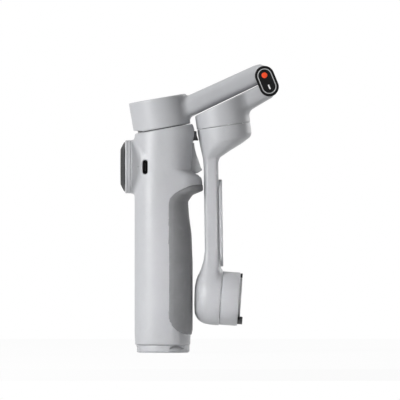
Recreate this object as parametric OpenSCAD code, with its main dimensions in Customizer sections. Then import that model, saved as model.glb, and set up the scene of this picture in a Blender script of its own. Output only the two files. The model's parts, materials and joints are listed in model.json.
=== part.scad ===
// Folding three-axis smartphone gimbal, stored folded and standing on its base.
// Seen from the front (-Y side) the user's side is -X and the folded arms are on +X.
// The origin is the mouth of the tripod thread in the middle of the base.

/* [Handle] */
// Widest height of the handle shell, up to where the pan axis meets its top
handle_h = 128.9; // [120:0.1:138]
// Half width of the handle on the user's side
handle_front = 16.3; // [15.6:0.1:18]
// Half width of the handle on the arm side, over the grip pad
handle_rear = 17.1; // [16.6:0.05:17.2]
// Half depth of the handle along Y
handle_half_depth = 17.4; // [16.6:0.1:17.6]
// Inside radius of the handle's round cavity
cavity_r = 14.5; // [14.4:0.05:14.7]
// Height of the inset foot at the base
foot_h = 4.8; // [4:0.1:6]
// Thickness of the rubber grip pad
pad_t = 1.2; // [0.9:0.1:1.3]
// Thickness of the slanted top wall around the neck
top_wall_h = 8; // [6:0.1:9]

/* [Finger guard, trigger and bumper] */
// Height of the finger guard's tip
guard_z = 96; // [94:0.1:97]
// Reach of the finger guard from the pan axis
guard_reach = 17.4; // [16:0.1:17.5]
// Depth of the finger guard along Y
guard_depth = 20; // [14:0.5:24]
// Height of the trigger's pivot
trigger_pivot_z = 118.6; // [117.6:0.1:119]
// Length of the trigger below its pivot
trigger_len = 15.2; // [13:0.1:15.5]
// Reach of the trigger's tip from the pan axis
trigger_reach = 18.7; // [17.5:0.1:18.8]
// Width of the trigger along Y
trigger_depth = 10; // [8:0.5:10.5]
// Radius of the trigger's pin
trigger_pin_r = 1; // [0.8:0.05:1.2]
// Height of the rubber bumper
bumper_h = 5.4; // [4:0.1:6]

/* [Control dial] */
// Height of the dial's axis
dial_z = 106.8; // [105:0.1:108]
// Outer radius of the dial's light bezel
bezel_r = 15.3; // [14.8:0.05:15.6]
// Distance of the bezel's front face from the handle's axis
bezel_front = 21.7; // [20.8:0.1:22.5]
// Width of the bezel along the dial's axis
bezel_w = 3.3; // [2.6:0.1:3.8]
// Radius of the dial at its base
dial_base_r = 14.2; // [13.4:0.05:14.4]
// Radius of the dial at its face
dial_face_r = 10.25; // [9.6:0.05:11]
// Height of the dial's cone
dial_h = 2.5; // [2:0.1:3.2]
// Radius of the button in the middle of the dial
dial_button_r = 6.4; // [5.5:0.1:7]

/* [Port, buttons and lights] */
// Distance of the charging port in front of the handle's axis
port_x = 10.15; // [9:0.05:10.6]
// Height of the charging port's centre
port_z = 106.6; // [105:0.1:108]
// Long side of the charging port's mouth
port_l = 8.6; // [8.3:0.1:8.9]
// Short side of the charging port's mouth
port_w = 2.8; // [2.6:0.05:3.1]
// Depth of the charging port
port_depth = 7.2; // [6:0.1:7.5]
// Radius of the power button
power_r = 3.2; // [2.6:0.1:3.6]

/* [Telescopic rod] */
// Outer radius of the widest sliding section
rod_r = 9.55; // [9.2:0.05:9.6]
// Wall of each section
rod_wall = 0.75; // [0.6:0.05:0.8]
// Length of each section
rod_len = 47.5; // [44:0.5:48]
// Radial clearance between sections
rod_fit = 0.05; // [0.03:0.01:0.06]

/* [Pan motor] */
// Lean of the pan axis towards the user
pan_lean = 9.9; // [9:0.1:10.5]
// Outer radius of the pan housing
pan_r = 16.5; // [16:0.05:17]
// Height of the pan housing
pan_h = 17.4; // [16.5:0.1:18.5]

/* [Pan arm and fold hinge] */
// Rise of the pan arm
arm_rise = 24.4; // [23.5:0.1:25]
// Distance of the upper hinge pin from the handle's axis
pin_x = 57.8; // [57:0.1:59]
// Height of the upper hinge pin
pin_z = 160.5; // [160:0.1:161.5]
// Thickness of the arm above the upper pin
arm_top = 6.3; // [5.8:0.1:6.5]
// Depth of both arms along Y
arm_depth = 17; // [14:0.5:18]
// Distance between the two hinge pins
pin_gap = 9; // [8.8:0.1:9.2]
// Radius of the hinge pins
pin_r = 2.2; // [1.8:0.1:2.4]
// Radius of the oval cap's round ends
oval_r = 5.55; // [5.3:0.05:5.7]

/* [Fold arm and tilt motor] */
// Distance of the tilt motor's split from the handle's axis
tilt_x = 34.9; // [34.6:0.05:35.4]
// Height of the tilt motor's split on its axis
tilt_z = 130.3; // [130:0.1:130.8]
// Lean of the tilt axis
tilt_lean = 8.6; // [8:0.1:9]
// Outer radius of the tilt motor's housing
tilt_r = 15.5; // [15.1:0.05:15.7]
// Thickness of the fold arm below the lower pin
fold_under = 5.9; // [5.2:0.1:6.2]

/* [Tilt arm and roll motor] */
// Inner face of the long arm, from the handle's axis
long_x = 23.25; // [23.15:0.05:23.8]
// Lean of the long arm, its lower end outward
long_lean = 0.9; // [0:0.1:1.5]
// Thickness of the long arm along X
long_t = 8.5; // [7.5:0.1:9]
// Depth of the long arm along Y
long_depth = 15; // [12:0.5:17]
// Thickness of the long arm's cover strip
strip_t = 2; // [1.4:0.1:2.4]
// Distance of the roll motor's split from the handle's axis
roll_x = 33.2; // [33:0.1:34]
// Height of the roll motor's split on its axis
roll_z = 31.4; // [30.5:0.1:32]
// Droop of the roll axis
roll_droop = 4; // [3:0.1:5]
// Outer radius of the roll motor and the mount disc
roll_r = 15.4; // [14.9:0.05:15.6]
// Depth of the roll motor's domed back
dome_h = 14.8; // [14.3:0.05:15]
// Thickness of the mount disc
disc_h = 11.7; // [10.8:0.1:12.4]
// Height of the locating lugs above the mount plate's face
lug_h = 1.6; // [0.8:0.1:2]

/* [Built-in tripod] */
// Height of the tripod's legs up to their pins
leg_h = 60; // [52:0.5:61]
// Radius of the tripod thread's wall in the base
thread_r = 2.55; // [2.4:0.05:2.7]
// Depth of the tripod thread
thread_depth = 8; // [6:0.5:9]
// Radius of the battery cell
cell_r = 9; // [8.5:0.05:9.05]
// Length of the battery cell
cell_l = 50; // [40:0.5:50.5]

/* [Hidden] */

// Smoothness of true round faces, of skins and of the parts of a hull
$fn = 72;
skin_n = 44;
hull_n = 32;

// Clearances: running fit, gap between bodies, and overrun of every cut
run_fit = 0.05;
gap = 0.3;
over = 1;

// Colours
body_grey = [0.78, 0.79, 0.81];
pad_grey = [0.45, 0.46, 0.48];
black = [0.08, 0.08, 0.09];
steel = [0.62, 0.63, 0.65];
copper = [0.72, 0.42, 0.24];

// Handle: the rear of the shell under the pad, and its outline in shares
shell_rear = handle_rear - pad_t;
pan_x = -0.4;
// Height over handle_h, then front, rear and depth over their half widths
handle_shares = [
    [0.080, 1.00, 1.00, 0.98], [0.200, 1.00, 1.00, 1.00], [0.400, 1.00, 1.00, 1.00],
    [0.530, 1.00, 0.96, 1.00], [0.610, 1.00, 0.87, 0.98], [0.670, 1.00, 0.83, 0.97],
    [0.730, 1.00, 0.93, 0.96], [0.820, 1.00, 1.06, 0.955], [0.905, 1.00, 1.09, 0.955],
    [0.940, 1.00, 1.115, 0.95], [0.965, 1.00, 1.165, 0.95], [0.985, 0.99, 1.165, 0.94],
    [1.060, 0.92, 0.97, 0.93]];
round_share = 0.86;
pad_side_t = pad_t * 0.6;
pad_front = handle_rear * 0.205;
pad_low = foot_h + 5.5;
pad_corner_x = handle_rear * 0.73;
pad_corner_z = handle_rear * 0.68;
// The pad's upper edge: share of the rear reach along X, and of it again above pad_high
pad_top_shares = [[0.205, -0.50], [0.251, -0.304], [0.386, -0.152], [0.532, -0.058], [0.684, 0.018],
    [0.836, 0.088], [0.982, 0.135], [1.135, 0.158], [1.281, 0.164], [2, 0.19]];
pad_high = guard_z - 2.2;
cavity_top = handle_h - top_wall_h - handle_front * tan(pan_lean);

// Finger guard, trigger and bumper
guard_tip = pan_axis_x(guard_z) + guard_reach / cos(pan_lean);
guard_half = guard_depth * 0.75;
// Height above guard_z over the guard's reach past the waist, and how much of that reach is left
guard_shares = [[-0.95, -0.1], [-0.80, 0.12], [-0.55, 0.38], [-0.34, 0.90], [-0.25, 1.00],
    [0.27, 1.00], [0.42, 0.93], [0.61, 0.77], [0.76, 0.50], [0.97, -0.1]];
guard_waist = shell_rear * 0.83;
trigger_x = handle_front - 1.1;
trigger_tip_z = trigger_pivot_z - trigger_len;
trigger_boss_r = trigger_pin_r + 1;
// Outline of the trigger from the side, from its pivot, as shares of its length
trigger_shares = [[-0.13, -0.13], [0.18, -0.13], [0.20, 0.06], [0.27, 0.33], [0.345, 0.53],
    [0.425, 0.79], [0.49, 0.90], [0.31, 1.02], [-0.04, 1.02], [-0.13, 0.26]];
trigger_notch = 3.2;
trigger_under = 2.2;
trigger_over = 2.9;
trigger_slot = trigger_depth / 2 + gap;
pin_bite = 1.6;
slot_inner_x = trigger_x - 3.6;
bumper_z = trigger_pivot_z + 3.3;
bumper_depth = 10;
bumper_root = 2.4;
bumper_reach = 19.1;
spring_wire = 0.5;
spring_turns = 4;

// Dial: everything along its axis, measured from the handle's axis
bezel_back = bezel_front - bezel_w;
boss_r = bezel_r + 1;
boss_root = 9;
dial_hub_r = dial_face_r - 0.25;
dial_hub_back = bezel_back - 1.6;
dial_lift = 0.2;
dial_bore_r = dial_button_r + 0.1;
dial_cavity_r = dial_hub_r + 0.6;
dial_board_t = 1.2;
dial_board_x = dial_hub_back - 1.3;
button_sink = 0.2;
button_back = dial_hub_back - 0.1;
switch_r = 2;
switch_h = 0.3;

// Charging port and power button
port_shell_t = 0.35;
port_y = handle_half_depth * 0.955 - 0.75;
board_half_w = 7.3;
board_t = 1;
board_x = 12.4;
board_low = handle_h * 0.56;
board_h = 42;
power_x = 4;
power_z = dial_z;
power_out = handle_half_depth * 0.955 + 0.55;
power_len = 3.4;
power_flange_r = power_r + 0.7;
power_flange_t = 0.8;

// Tripod, battery and bulkhead
tube_in_r = cell_r + 0.15;
tube_out_r = tube_in_r + 1;
leg_in_r = tube_out_r + gap;
leg_out_r = cavity_r - gap;
foot_r = handle_front - 1;
foot_base_r = foot_r - 0.9;
foot_gap_angle = 1.2;
core_r = 6;
foot_in_r = core_r + gap;
insert_r = thread_r + 1.6;
tube_floor_z = thread_depth + 1;
tube_floor_t = 1.5;
cell_z = tube_floor_z + tube_floor_t;
leg_bar_angle = 74;
leg_pin_r = 1;
leg_tongue_w = 5;
leg_tongue_h = 7;
hub_slot_w = leg_tongue_w + 0.2;
hub_h = 9;
hub_top = leg_h + leg_tongue_h / 2 + 1.5;
notch_r = 7.5;
notch_x = 8.2;
notch_z = foot_h - 0.8;
notch_depth = 0.9;
bulkhead_z = hub_top + 1;
bulkhead_t = 2.4;

// Rod: the sleeve and the five sections, each inside the one before
rod_step = rod_wall + rod_fit;
sleeve_in_r = rod_r + rod_fit;
sleeve_out_r = sleeve_in_r + 0.8;
rod_low = cavity_top - 0.5 - rod_len;
neck_low = cavity_top + gap;
neck_r = sleeve_out_r + 1.1;
neck_bore_r = 3.2;

// Motors: one layout, with its own radius and height in each joint
shaft_r = 2;
bearing_r = 4;
bearing_h = 2;
hub_slot_r = 6;
slot_w = 1.8;
slots = 9;
coil_clear = 0.15;
pan_split = 0.5;
pan_plate_t = 1.4;
pan_plate_r = pan_r - 2.3;
pan_cup_r = pan_r - 1.7;
pan_cup_h = pan_h - 1.6;
pan_stator_r = pan_r - 4.5;
pan_stator_low = pan_plate_t - 0.2;
pan_stator_h = 7.8;
pan_magnet_in = pan_stator_r + 0.4;
pan_magnet_h = 7;
pan_boss_r = 4.5;
pan_boss_low = pan_stator_low + pan_stator_h + 0.8;
motor_cup_r = 12.8;
magnet_out_r = motor_cup_r - 0.6;
magnet_in_r = magnet_out_r - 2.1;
stator_r = magnet_in_r - 0.4;
split = 0.3;
tilt_cup_h = 6.8;
tilt_stator_h = 6;
roll_cup_h = 9;
roll_stator_h = 8;

// Arms and hinge, in the pan arm's frame with its origin at the upper pin
link_lean = 22.5;
barrel_r = pin_gap / 2 - 0.15;
keep_out_r = barrel_r + gap;
lower_pin_x = pin_gap * sin(link_lean - arm_rise);
lower_pin_z = -pin_gap * cos(link_lean - arm_rise);
seam_slope = 1.5;
seam_gap = 0.6;
// Share of the run from the pins towards the pan housing, then low, high and depth, and roundness
tube_run = (pin_x - pan_x) * 0.86;
pan_tube_shares = [
    [-0.03, 1.02, 0.81, 0.93, 0.62], [0.01, 1.04, 0.94, 0.98, 0.62], [0.08, 1.07, 1.00, 1.00, 0.62],
    [0.44, 1.15, 1.00, 1.00, 0.62], [0.68, 1.21, 1.00, 1.03, 0.62], [0.88, 1.26, 1.00, 1.07, 0.66],
    [1.00, 1.30, 0.97, 1.05, 0.70]];
fold_tube_shares = [
    [-0.012, 0.85, 0.74, 0.93, 0.62], [0.028, 0.98, 0.74, 1.00, 0.62], [0.12, 1.05, 1.00, 1.00, 0.62],
    [0.32, 1.24, 1.00, 1.07, 0.66], [0.48, 1.41, 1.00, 1.24, 0.70]];
arm_half = arm_depth / 2;
cable_r = 2.6;
link_t = 1.4;
link_r = oval_r - 0.4;
oval_half = pin_gap / 2 - 1;
link_y = arm_half + gap;
cap_t = 1.1;
cap_y = link_y + link_t;
cap_bevel = 0.45;
cap_inlay = 0.4;
cap_ring_r = oval_r - 1.4;
cap_ring_w = 0.46;
cap_ring_half = oval_half - 0.15;
cap_drop = 0.45;
cap_dot_r = 1.66;
cap_dot_up = 3.65;
cap_bar_w = 0.85;
cap_bar_l = 2.9;
cap_bar_down = 3.65;

// Long arm and its end
long_top = tilt_z - tilt_r * 1.245;
long_low = roll_z + roll_r * 1.747;
seam_step = 0.02;
cable_past = roll_r * 0.8;
long_half = long_depth / 2;
long_round = 2.2;
tilt_rim_h = 6;
tilt_rim_round = 3.4;
strip_low = long_low - 9;
strip_high = long_top - 11.6;
strip_half = long_half - 1.2;
screw_r = 1.1;
screw_l = 1.2;
screw_head = 0.6;
screw_inset = 5;
// The dome's outline from its rim to its crown, as shares of its radius and depth
dome_shares = [[1, 0], [0.965, 0.30], [0.91, 0.56], [0.82, 0.755], [0.715, 0.865], [0.57, 0.94],
    [0.34, 0.99], [0, 1]];

// Mount disc
disc_chamfer = 0.5;
plate_r = roll_r - 3.2;
plate_t = 2.4;
rim_drop = 1.2;
magnet_r = 2;
magnets = 6;
magnet_ring_r = plate_r - 3.5;
magnet_t = 0.9;
lug_in_r = plate_r + gap;
lug_angle = 44;

function pan_axis_x(z) = pan_x + (handle_h - z) * tan(pan_lean);
function signed_pow(v, p) = sign(v) * pow(abs(v), p);

// Rounded oval ring from x = low to x = high, at height z
function ring(low, high, half_y, z, p) = [for (i = [0 : skin_n - 1])
    let (a = 360 * i / skin_n)
    [(low + high) / 2 + (high - low) / 2 * signed_pow(cos(a), p),
        half_y * signed_pow(sin(a), p), z]];

// Corner points of a rectangle with round corners
function rounded(x0, x1, half_y, r) = [for (q = [0 : 3], k = [0 : 6])
    let (a = 90 * q + 15 * k,
        cx = (q == 0 || q == 3) ? x1 - r : x0 + r,
        cy = (q < 2) ? half_y - r : r - half_y)
    [cx + r * cos(a), cy + r * sin(a)]];

// Corner points of a slot shape along y, with its round ends half apart from the middle
function stadium(r, half) = [for (i = [0 : 2 * skin_n - 1])
    let (a = 180 * i / skin_n)
    [r * cos(a), r * sin(a) + (i < skin_n ? half : -half)]];

module loft(rings) {
    n = len(rings[0]);
    m = len(rings);
    polyhedron(
        points = [for (one = rings) each one],
        faces = concat(
            [[for (i = [0 : n - 1]) i]],
            [[for (i = [n - 1 : -1 : 0]) (m - 1) * n + i]],
            [for (k = [0 : m - 2], i = [0 : n - 1])
                [k * n + i, (k + 1) * n + i, (k + 1) * n + (i + 1) % n]],
            [for (k = [0 : m - 2], i = [0 : n - 1])
                [k * n + i, (k + 1) * n + (i + 1) % n, k * n + (i + 1) % n]]));
}

module tube(r_out, r_in, h) {
    difference() {
        cylinder(r = r_out, h = h);
        translate([0, 0, -over]) cylinder(r = r_in, h = h + 2 * over);
    }
}

module along_y(y = 0) {
    translate([0, y, 0]) rotate([-90, 0, 0]) children();
}

module pan_frame() {
    translate([pan_x, 0, handle_h]) rotate([0, -pan_lean, 0]) children();
}

module tilt_frame() {
    translate([tilt_x, 0, tilt_z]) rotate([0, -tilt_lean, 0]) children();
}

module roll_frame() {
    translate([roll_x, 0, roll_z]) rotate([0, 90 + roll_droop, 0]) children();
}

module arm_frame() {
    translate([pin_x, 0, pin_z]) rotate([0, -arm_rise, 0]) children();
}

// Children's z runs from the hinge towards the housings, and x is the arm's thickness
module along_arm() {
    arm_frame() rotate([0, -90, 0]) children();
}

// Children's z points along -X, from the handle's axis at the dial's height
module dial_frame() {
    translate([0, 0, dial_z]) rotate([0, -90, 0]) children();
}

// Children's y runs from the lower pin to the upper one, and z points to the front
module cap_frame() {
    arm_frame() translate([lower_pin_x / 2, 0, lower_pin_z / 2])
        rotate([0, arm_rise - link_lean, 0]) translate([0, 0, -cap_drop]) rotate([90, 0, 0]) children();
}

// Everything above the slanted split under the pan housing, lowered by drop
module above_split(drop) {
    pan_frame() translate([-3 * pan_r, -3 * pan_r, -drop]) cube([6 * pan_r, 6 * pan_r, 3 * pan_r]);
}

module handle_skin(extra_rear, extra_side) {
    low = [foot_h, 0.98, 0.99, 0.955];
    levels = concat([low], [for (s = handle_shares) [s[0] * handle_h, s[1], s[2], s[3]]]);
    loft([for (s = levels)
        ring(-handle_front * s[1], shell_rear * s[2] + extra_rear,
            handle_half_depth * s[3] + extra_side, s[0], round_share)]);
}

// Finger guard: a flange that swells out of the waist and is trimmed round the pan axis
module guard() {
    swell = guard_tip - guard_waist;
    intersection() {
        loft([for (s = guard_shares)
            ring(-handle_front / 4, guard_waist + swell * s[1] + run_fit, guard_half,
                guard_z + swell * s[0], round_share)]);
        pan_frame() translate([0, 0, -handle_h]) cylinder(r = guard_reach, h = handle_h);
    }
}

module bumper_block() {
    intersection() {
        translate([shell_rear - bumper_root, -bumper_depth / 2, bumper_z])
            cube([2 * bumper_root + pan_r, bumper_depth, bumper_h]);
        pan_frame() translate([0, 0, -handle_h]) cylinder(r = bumper_reach, h = handle_h);
    }
}

module handle_shell() {
    color(body_grey) difference() {
        union() {
            handle_skin(0, 0);
            dial_frame() translate([0, 0, boss_root])
                cylinder(r1 = boss_r, r2 = bezel_r, h = bezel_back - boss_root);
            difference() {
                guard();
                pad_zone();
            }
        }
        above_split(pan_split);
        translate([0, 0, foot_h - over]) cylinder(r = cavity_r, h = cavity_top - foot_h + over);
        cylinder(r = neck_r + 0.4, h = 2 * handle_h);
        dial_frame() cylinder(r = dial_cavity_r, h = bezel_front);
        trigger_room();
        translate([trigger_x, 0, trigger_pivot_z])
            along_y(-trigger_slot - pin_bite - gap)
                cylinder(r = trigger_pin_r, h = 2 * (trigger_slot + pin_bite + gap));
        translate([-port_x, over - handle_half_depth, port_z]) rotate([90, 0, 0])
            translate([0, 0, -port_depth - 2 * over]) linear_extrude(port_depth + 4 * over)
                rotate(0) polygon(stadium(port_w / 2 + port_shell_t, (port_l - port_w) / 2));
        translate([-power_x, 0, power_z]) along_y() cylinder(r = power_r + 0.1, h = 2 * handle_front);
        translate([-power_x, 0, power_z]) along_y()
            cylinder(r = power_flange_r + gap, h = power_out - power_len + gap);
        bumper_block();
    }
}

module trigger_room() {
    translate([slot_inner_x, -trigger_slot, trigger_tip_z - trigger_under])
        cube([pan_r, 2 * trigger_slot, trigger_len + trigger_under + trigger_over]);
}

module grip_pad() {
    color(pad_grey) intersection() {
        difference() {
            union() {
                handle_skin(pad_t, pad_side_t);
                guard();
            }
            handle_skin(0, 0);
        }
        pad_zone();
    }
}

module pad_zone() {
    along_y(-2 * handle_rear) linear_extrude(4 * handle_rear) polygon(pad_outline());
}

// The pad's outline from the side: two round corners in front and a top edge that rises
function pad_outline() = concat(
    [[2 * handle_rear, -pad_low]],
    [for (a = [0 : 15 : 90]) [pad_front + pad_corner_x * (1 - sin(a)), -pad_low - pad_corner_z * (1 - cos(a))]],
    [for (s = pad_top_shares) handle_rear * [s[0], -s[1]] - [0, pad_high]]);

module rear_bumper() {
    color(pad_grey) bumper_block();
}

module dial_bezel() {
    color(body_grey) dial_frame() translate([0, 0, bezel_back])
        tube(bezel_r, dial_hub_r + run_fit, bezel_w);
}

module control_dial() {
    color(black) dial_frame() difference() {
        union() {
            translate([0, 0, bezel_front + dial_lift])
                cylinder(r1 = dial_base_r, r2 = dial_face_r, h = dial_h);
            translate([0, 0, dial_hub_back])
                cylinder(r = dial_hub_r, h = bezel_front + dial_lift - dial_hub_back + over / 2);
        }
        cylinder(r = dial_bore_r, h = 2 * bezel_front);
    }
}

module dial_button() {
    color(black) dial_frame() translate([0, 0, button_back + 0.5])
        cylinder(r = dial_button_r,
            h = bezel_front + dial_lift + dial_h - button_sink - button_back - 0.5);
}

module dial_board() {
    color("darkgreen") dial_frame() {
        translate([0, 0, dial_board_x - dial_board_t])
            cylinder(r = dial_cavity_r, h = dial_board_t);
        translate([0, 0, dial_board_x - over / 2]) cylinder(r = switch_r, h = over / 2 + switch_h);
    }
}

module usb_port() {
    color(black) translate([-port_x, -port_y, port_z]) rotate([-90, 0, 0])
        difference() {
            linear_extrude(port_depth)
                polygon(stadium(port_w / 2 + port_shell_t, (port_l - port_w) / 2));
            translate([0, 0, -over]) linear_extrude(port_depth)
                polygon(stadium(port_w / 2, (port_l - port_w) / 2));
        }
}

module main_board() {
    color("darkgreen") translate([-board_x, -board_half_w, board_low])
        cube([board_t, 2 * board_half_w, board_h]);
}

module power_button() {
    color(pad_grey) translate([-power_x, power_out - power_len, power_z]) along_y() {
        cylinder(r = power_r, h = power_len);
        translate([0, 0, -power_flange_t]) cylinder(r = power_flange_r, h = power_flange_t + 0.2);
    }
}

// Y points down in the outline's plane, which is turned for an extrusion along Y
module trigger() {
    color(pad_grey) intersection() {
        difference() {
            translate([trigger_x, 0, trigger_pivot_z]) along_y(-trigger_depth / 2)
                linear_extrude(trigger_depth) polygon(trigger_len * trigger_shares);
            translate([trigger_x, 0, trigger_pivot_z]) along_y(-trigger_depth)
                cylinder(r = trigger_pin_r + run_fit, h = 2 * trigger_depth);
            translate([trigger_x, 0, trigger_pivot_z]) along_y(-trigger_notch / 2)
                cylinder(r = trigger_boss_r + spring_wire, h = trigger_notch);
        }
        pan_frame() translate([0, 0, -handle_h]) trigger_envelope();
    }
}

// The trigger's outer face bulges round the pan axis and widens towards its tip
module trigger_envelope() {
    tip = handle_h - (handle_h - trigger_tip_z) / cos(pan_lean) - over;
    cylinder(r = trigger_reach, h = tip);
    translate([0, 0, tip])
        cylinder(r1 = trigger_reach, r2 = trigger_reach - trigger_len * 0.04,
            h = handle_h - tip);
}

module trigger_pin() {
    color(steel) translate([trigger_x, 0, trigger_pivot_z]) along_y(-trigger_slot - pin_bite)
        cylinder(r = trigger_pin_r, h = 2 * (trigger_slot + pin_bite));
}

module trigger_spring() {
    turn_r = trigger_pin_r + run_fit + spring_wire / 2;
    color(steel) translate([trigger_x, 0, trigger_pivot_z])
        for (i = [0 : spring_turns - 1])
            along_y((i + 0.5 - spring_turns / 2) * (spring_wire + run_fit))
                rotate_extrude() translate([turn_r, 0]) circle(r = spring_wire / 2, $fn = 24);
}

module bulkhead() {
    color(pad_grey) translate([0, 0, bulkhead_z]) cylinder(r = cavity_r, h = bulkhead_t);
}

module battery_tube() {
    color(pad_grey) {
        difference() {
            union() {
                translate([0, 0, tube_floor_z]) cylinder(r = tube_out_r, h = bulkhead_z - tube_floor_z);
                cylinder(r = core_r, h = tube_floor_z + over);
            }
            translate([0, 0, cell_z]) cylinder(r = tube_in_r, h = bulkhead_z);
            translate([0, 0, -over]) cylinder(r = insert_r, h = thread_depth + over);
        }
    }
}

module battery_cell() {
    color("seagreen") translate([0, 0, cell_z]) cylinder(r = cell_r, h = cell_l);
}

module thread_insert() {
    color("goldenrod") tube(insert_r, thread_r, thread_depth);
}

// One third of a ring round the tripod, less the gap to the next leg
module sector(r_out, r_in, h, angle) {
    rotate(-angle / 2) rotate_extrude(angle = angle)
        polygon([[r_in, 0], [r_out, 0], [r_out, h], [r_in, h]]);
}

module each_leg() {
    for (i = [0 : 2]) rotate(120 * i - 90) children();
}

module leg_foot() {
    angle = 120 - foot_gap_angle;
    rotate(-angle / 2) rotate_extrude(angle = angle)
        polygon([[foot_in_r, 0], [foot_base_r, 0], [foot_r, foot_r - foot_base_r],
            [foot_r, foot_h - gap], [foot_in_r, foot_h - gap]]);
}

module tripod_legs() {
    color(body_grey) each_leg() difference() {
        union() {
            leg_foot();
            translate([0, 0, foot_h - gap - over])
                sector(leg_out_r, leg_in_r, leg_h - foot_h - leg_tongue_h / 2 + gap + over,
                    leg_bar_angle);
            intersection() {
                translate([0, 0, foot_h]) sector(leg_out_r, leg_in_r, leg_h - foot_h + leg_tongue_h / 2,
                    leg_bar_angle);
                translate([0, -leg_tongue_w / 2, 0]) cube([2 * cavity_r, leg_tongue_w, 2 * leg_h]);
            }
        }
        translate([(leg_in_r + leg_out_r) / 2, 0, leg_h]) along_y(-leg_tongue_w)
            cylinder(r = leg_pin_r + run_fit, h = 2 * leg_tongue_w);
        rotate(asin(notch_x / foot_r)) translate([foot_r - notch_depth, 0, notch_z])
            rotate([0, 90 - atan(notch_depth / foot_h), 0]) translate([notch_r, 0, 0])
                cylinder(r = notch_r, h = foot_r);
    }
}

module tripod_hub() {
    color(pad_grey) difference() {
        translate([0, 0, hub_top - hub_h]) tube(leg_out_r, leg_in_r, hub_h);
        each_leg() {
            translate([0, -hub_slot_w / 2, -over]) cube([2 * cavity_r, hub_slot_w,
                leg_h + leg_tongue_h / 2 + over + run_fit]);
            translate([(leg_in_r + leg_out_r) / 2, 0, leg_h]) along_y(-leg_tongue_w)
                cylinder(r = leg_pin_r, h = 2 * leg_tongue_w);
        }
        leg_clear();
    }
}

// Room in the hub's skirt for the legs' full width
module leg_clear() {
    each_leg() translate([0, 0, -over])
        sector(cavity_r + over, leg_in_r - over, leg_h - leg_tongue_h / 2 + over + run_fit,
            leg_bar_angle + 2);
}

module tripod_pins() {
    color(steel) each_leg() translate([(leg_in_r + leg_out_r) / 2, 0, leg_h])
        along_y(-leg_tongue_w / 2 - 1.5) cylinder(r = leg_pin_r, h = leg_tongue_w + 3);
}

module rod_sleeve() {
    color(pad_grey) translate([0, 0, bulkhead_z + bulkhead_t])
        tube(sleeve_out_r, sleeve_in_r, cavity_top - bulkhead_z - bulkhead_t);
}

// Sections count from 0, the widest; the last one reaches up to the neck
module rod_section(i) {
    r = rod_r - i * rod_step;
    last = i == 4;
    color(last ? steel : black) translate([0, 0, rod_low])
        tube(r, r - rod_wall, last ? neck_low - rod_low : rod_len);
}

module motor_neck() {
    color(black) difference() {
        translate([0, 0, neck_low]) cylinder(r = neck_r, h = 2 * pan_h);
        above_split(pan_split - gap);
        cylinder(r = neck_bore_r, h = 2 * handle_h);
    }
}

module motor_stator(r, h) {
    color(steel) difference() {
        tube(r, bearing_r, h);
        for (i = [0 : slots - 1]) rotate(360 * i / slots)
            translate([hub_slot_r, -slot_w / 2, -over]) cube([r, slot_w, h + 2 * over]);
    }
}

module motor_coils(r, h) {
    color(copper) for (i = [0 : slots - 1]) rotate(360 * i / slots)
        translate([hub_slot_r + coil_clear, -slot_w / 2 + coil_clear, coil_clear])
            cube([r - hub_slot_r - 3 * coil_clear, slot_w - 2 * coil_clear, h - 2 * coil_clear]);
}

module motor_bearings(h) {
    color(steel) for (z = [0.2, h - bearing_h - 0.2]) translate([0, 0, z])
        tube(bearing_r, shaft_r + run_fit, bearing_h);
}

module pan_base_plate() {
    color(steel) pan_frame() translate([0, 0, gap - pan_split]) tube(pan_plate_r, neck_bore_r, pan_plate_t);
}

module pan_motor() {
    pan_frame() translate([0, 0, pan_stator_low]) children();
}

module tilt_motor() {
    tilt_frame() translate([0, 0, tilt_cup_h - tilt_stator_h]) children();
}

module roll_motor() {
    roll_frame() translate([0, 0, -roll_cup_h]) children();
}

module pan_shaft() {
    color(steel) pan_frame() translate([0, 0, pan_stator_low + 0.5])
        cylinder(r = shaft_r, h = pan_cup_h - pan_stator_low - 0.5);
}

module pan_magnet_ring() {
    color(steel) pan_frame() translate([0, 0, pan_plate_t + gap])
        tube(pan_cup_r, pan_magnet_in, pan_magnet_h);
}

// Upper tube from the hinge into the pan housing; low runs down a little on the way
module pan_tube() {
    along_arm() loft([for (s = pan_tube_shares)
        ring(-barrel_r * s[1], arm_top * s[2], arm_half * s[3], tube_run * s[0], s[4])]);
}

module pan_arm() {
    color(body_grey) difference() {
        union() {
            pan_frame() cylinder(r = pan_r, h = pan_h);
            pan_tube();
            arm_frame() along_y(-arm_half) cylinder(r = barrel_r, h = arm_depth);
        }
        pan_frame() difference() {
            translate([0, 0, -over]) cylinder(r = pan_cup_r, h = pan_cup_h + over);
            translate([0, 0, pan_boss_low]) cylinder(r = pan_boss_r, h = pan_h);
        }
        pan_frame() cylinder(r = shaft_r, h = pan_cup_h);
        arm_frame() along_y(-arm_depth) cylinder(r = pin_r + run_fit, h = 2 * arm_depth);
        lower_pin() along_y(-arm_depth) cylinder(r = keep_out_r, h = 2 * arm_depth);
        along_arm() translate([arm_top / 3, 0, 2 * pin_r + over]) cylinder(r = cable_r, h = tube_run * 0.84);
    }
}

module lower_pin() {
    arm_frame() translate([lower_pin_x, 0, lower_pin_z]) children();
}

// Plates of the oval link, one on each side of the two barrels
module link_plates() {
    color(black) for (side = [0, 1]) mirror([0, side, 0]) difference() {
        cap_frame() translate([0, 0, link_y]) linear_extrude(link_t)
            polygon(stadium(link_r, oval_half));
        both_pins(pin_r);
    }
}

module both_pins(r) {
    h = 2 * (link_y + link_t);
    arm_frame() along_y(-h / 2) cylinder(r = r, h = h);
    lower_pin() along_y(-h / 2) cylinder(r = r, h = h);
}

module hinge_pins() {
    color(steel) both_pins(pin_r);
}

module cap_plate() {
    translate([0, 0, cap_y]) linear_extrude(cap_t - cap_bevel) polygon(stadium(oval_r, oval_half));
    translate([0, 0, cap_y + cap_t - cap_bevel]) linear_extrude(cap_bevel)
        polygon(stadium(oval_r - cap_bevel, oval_half));
}

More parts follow.
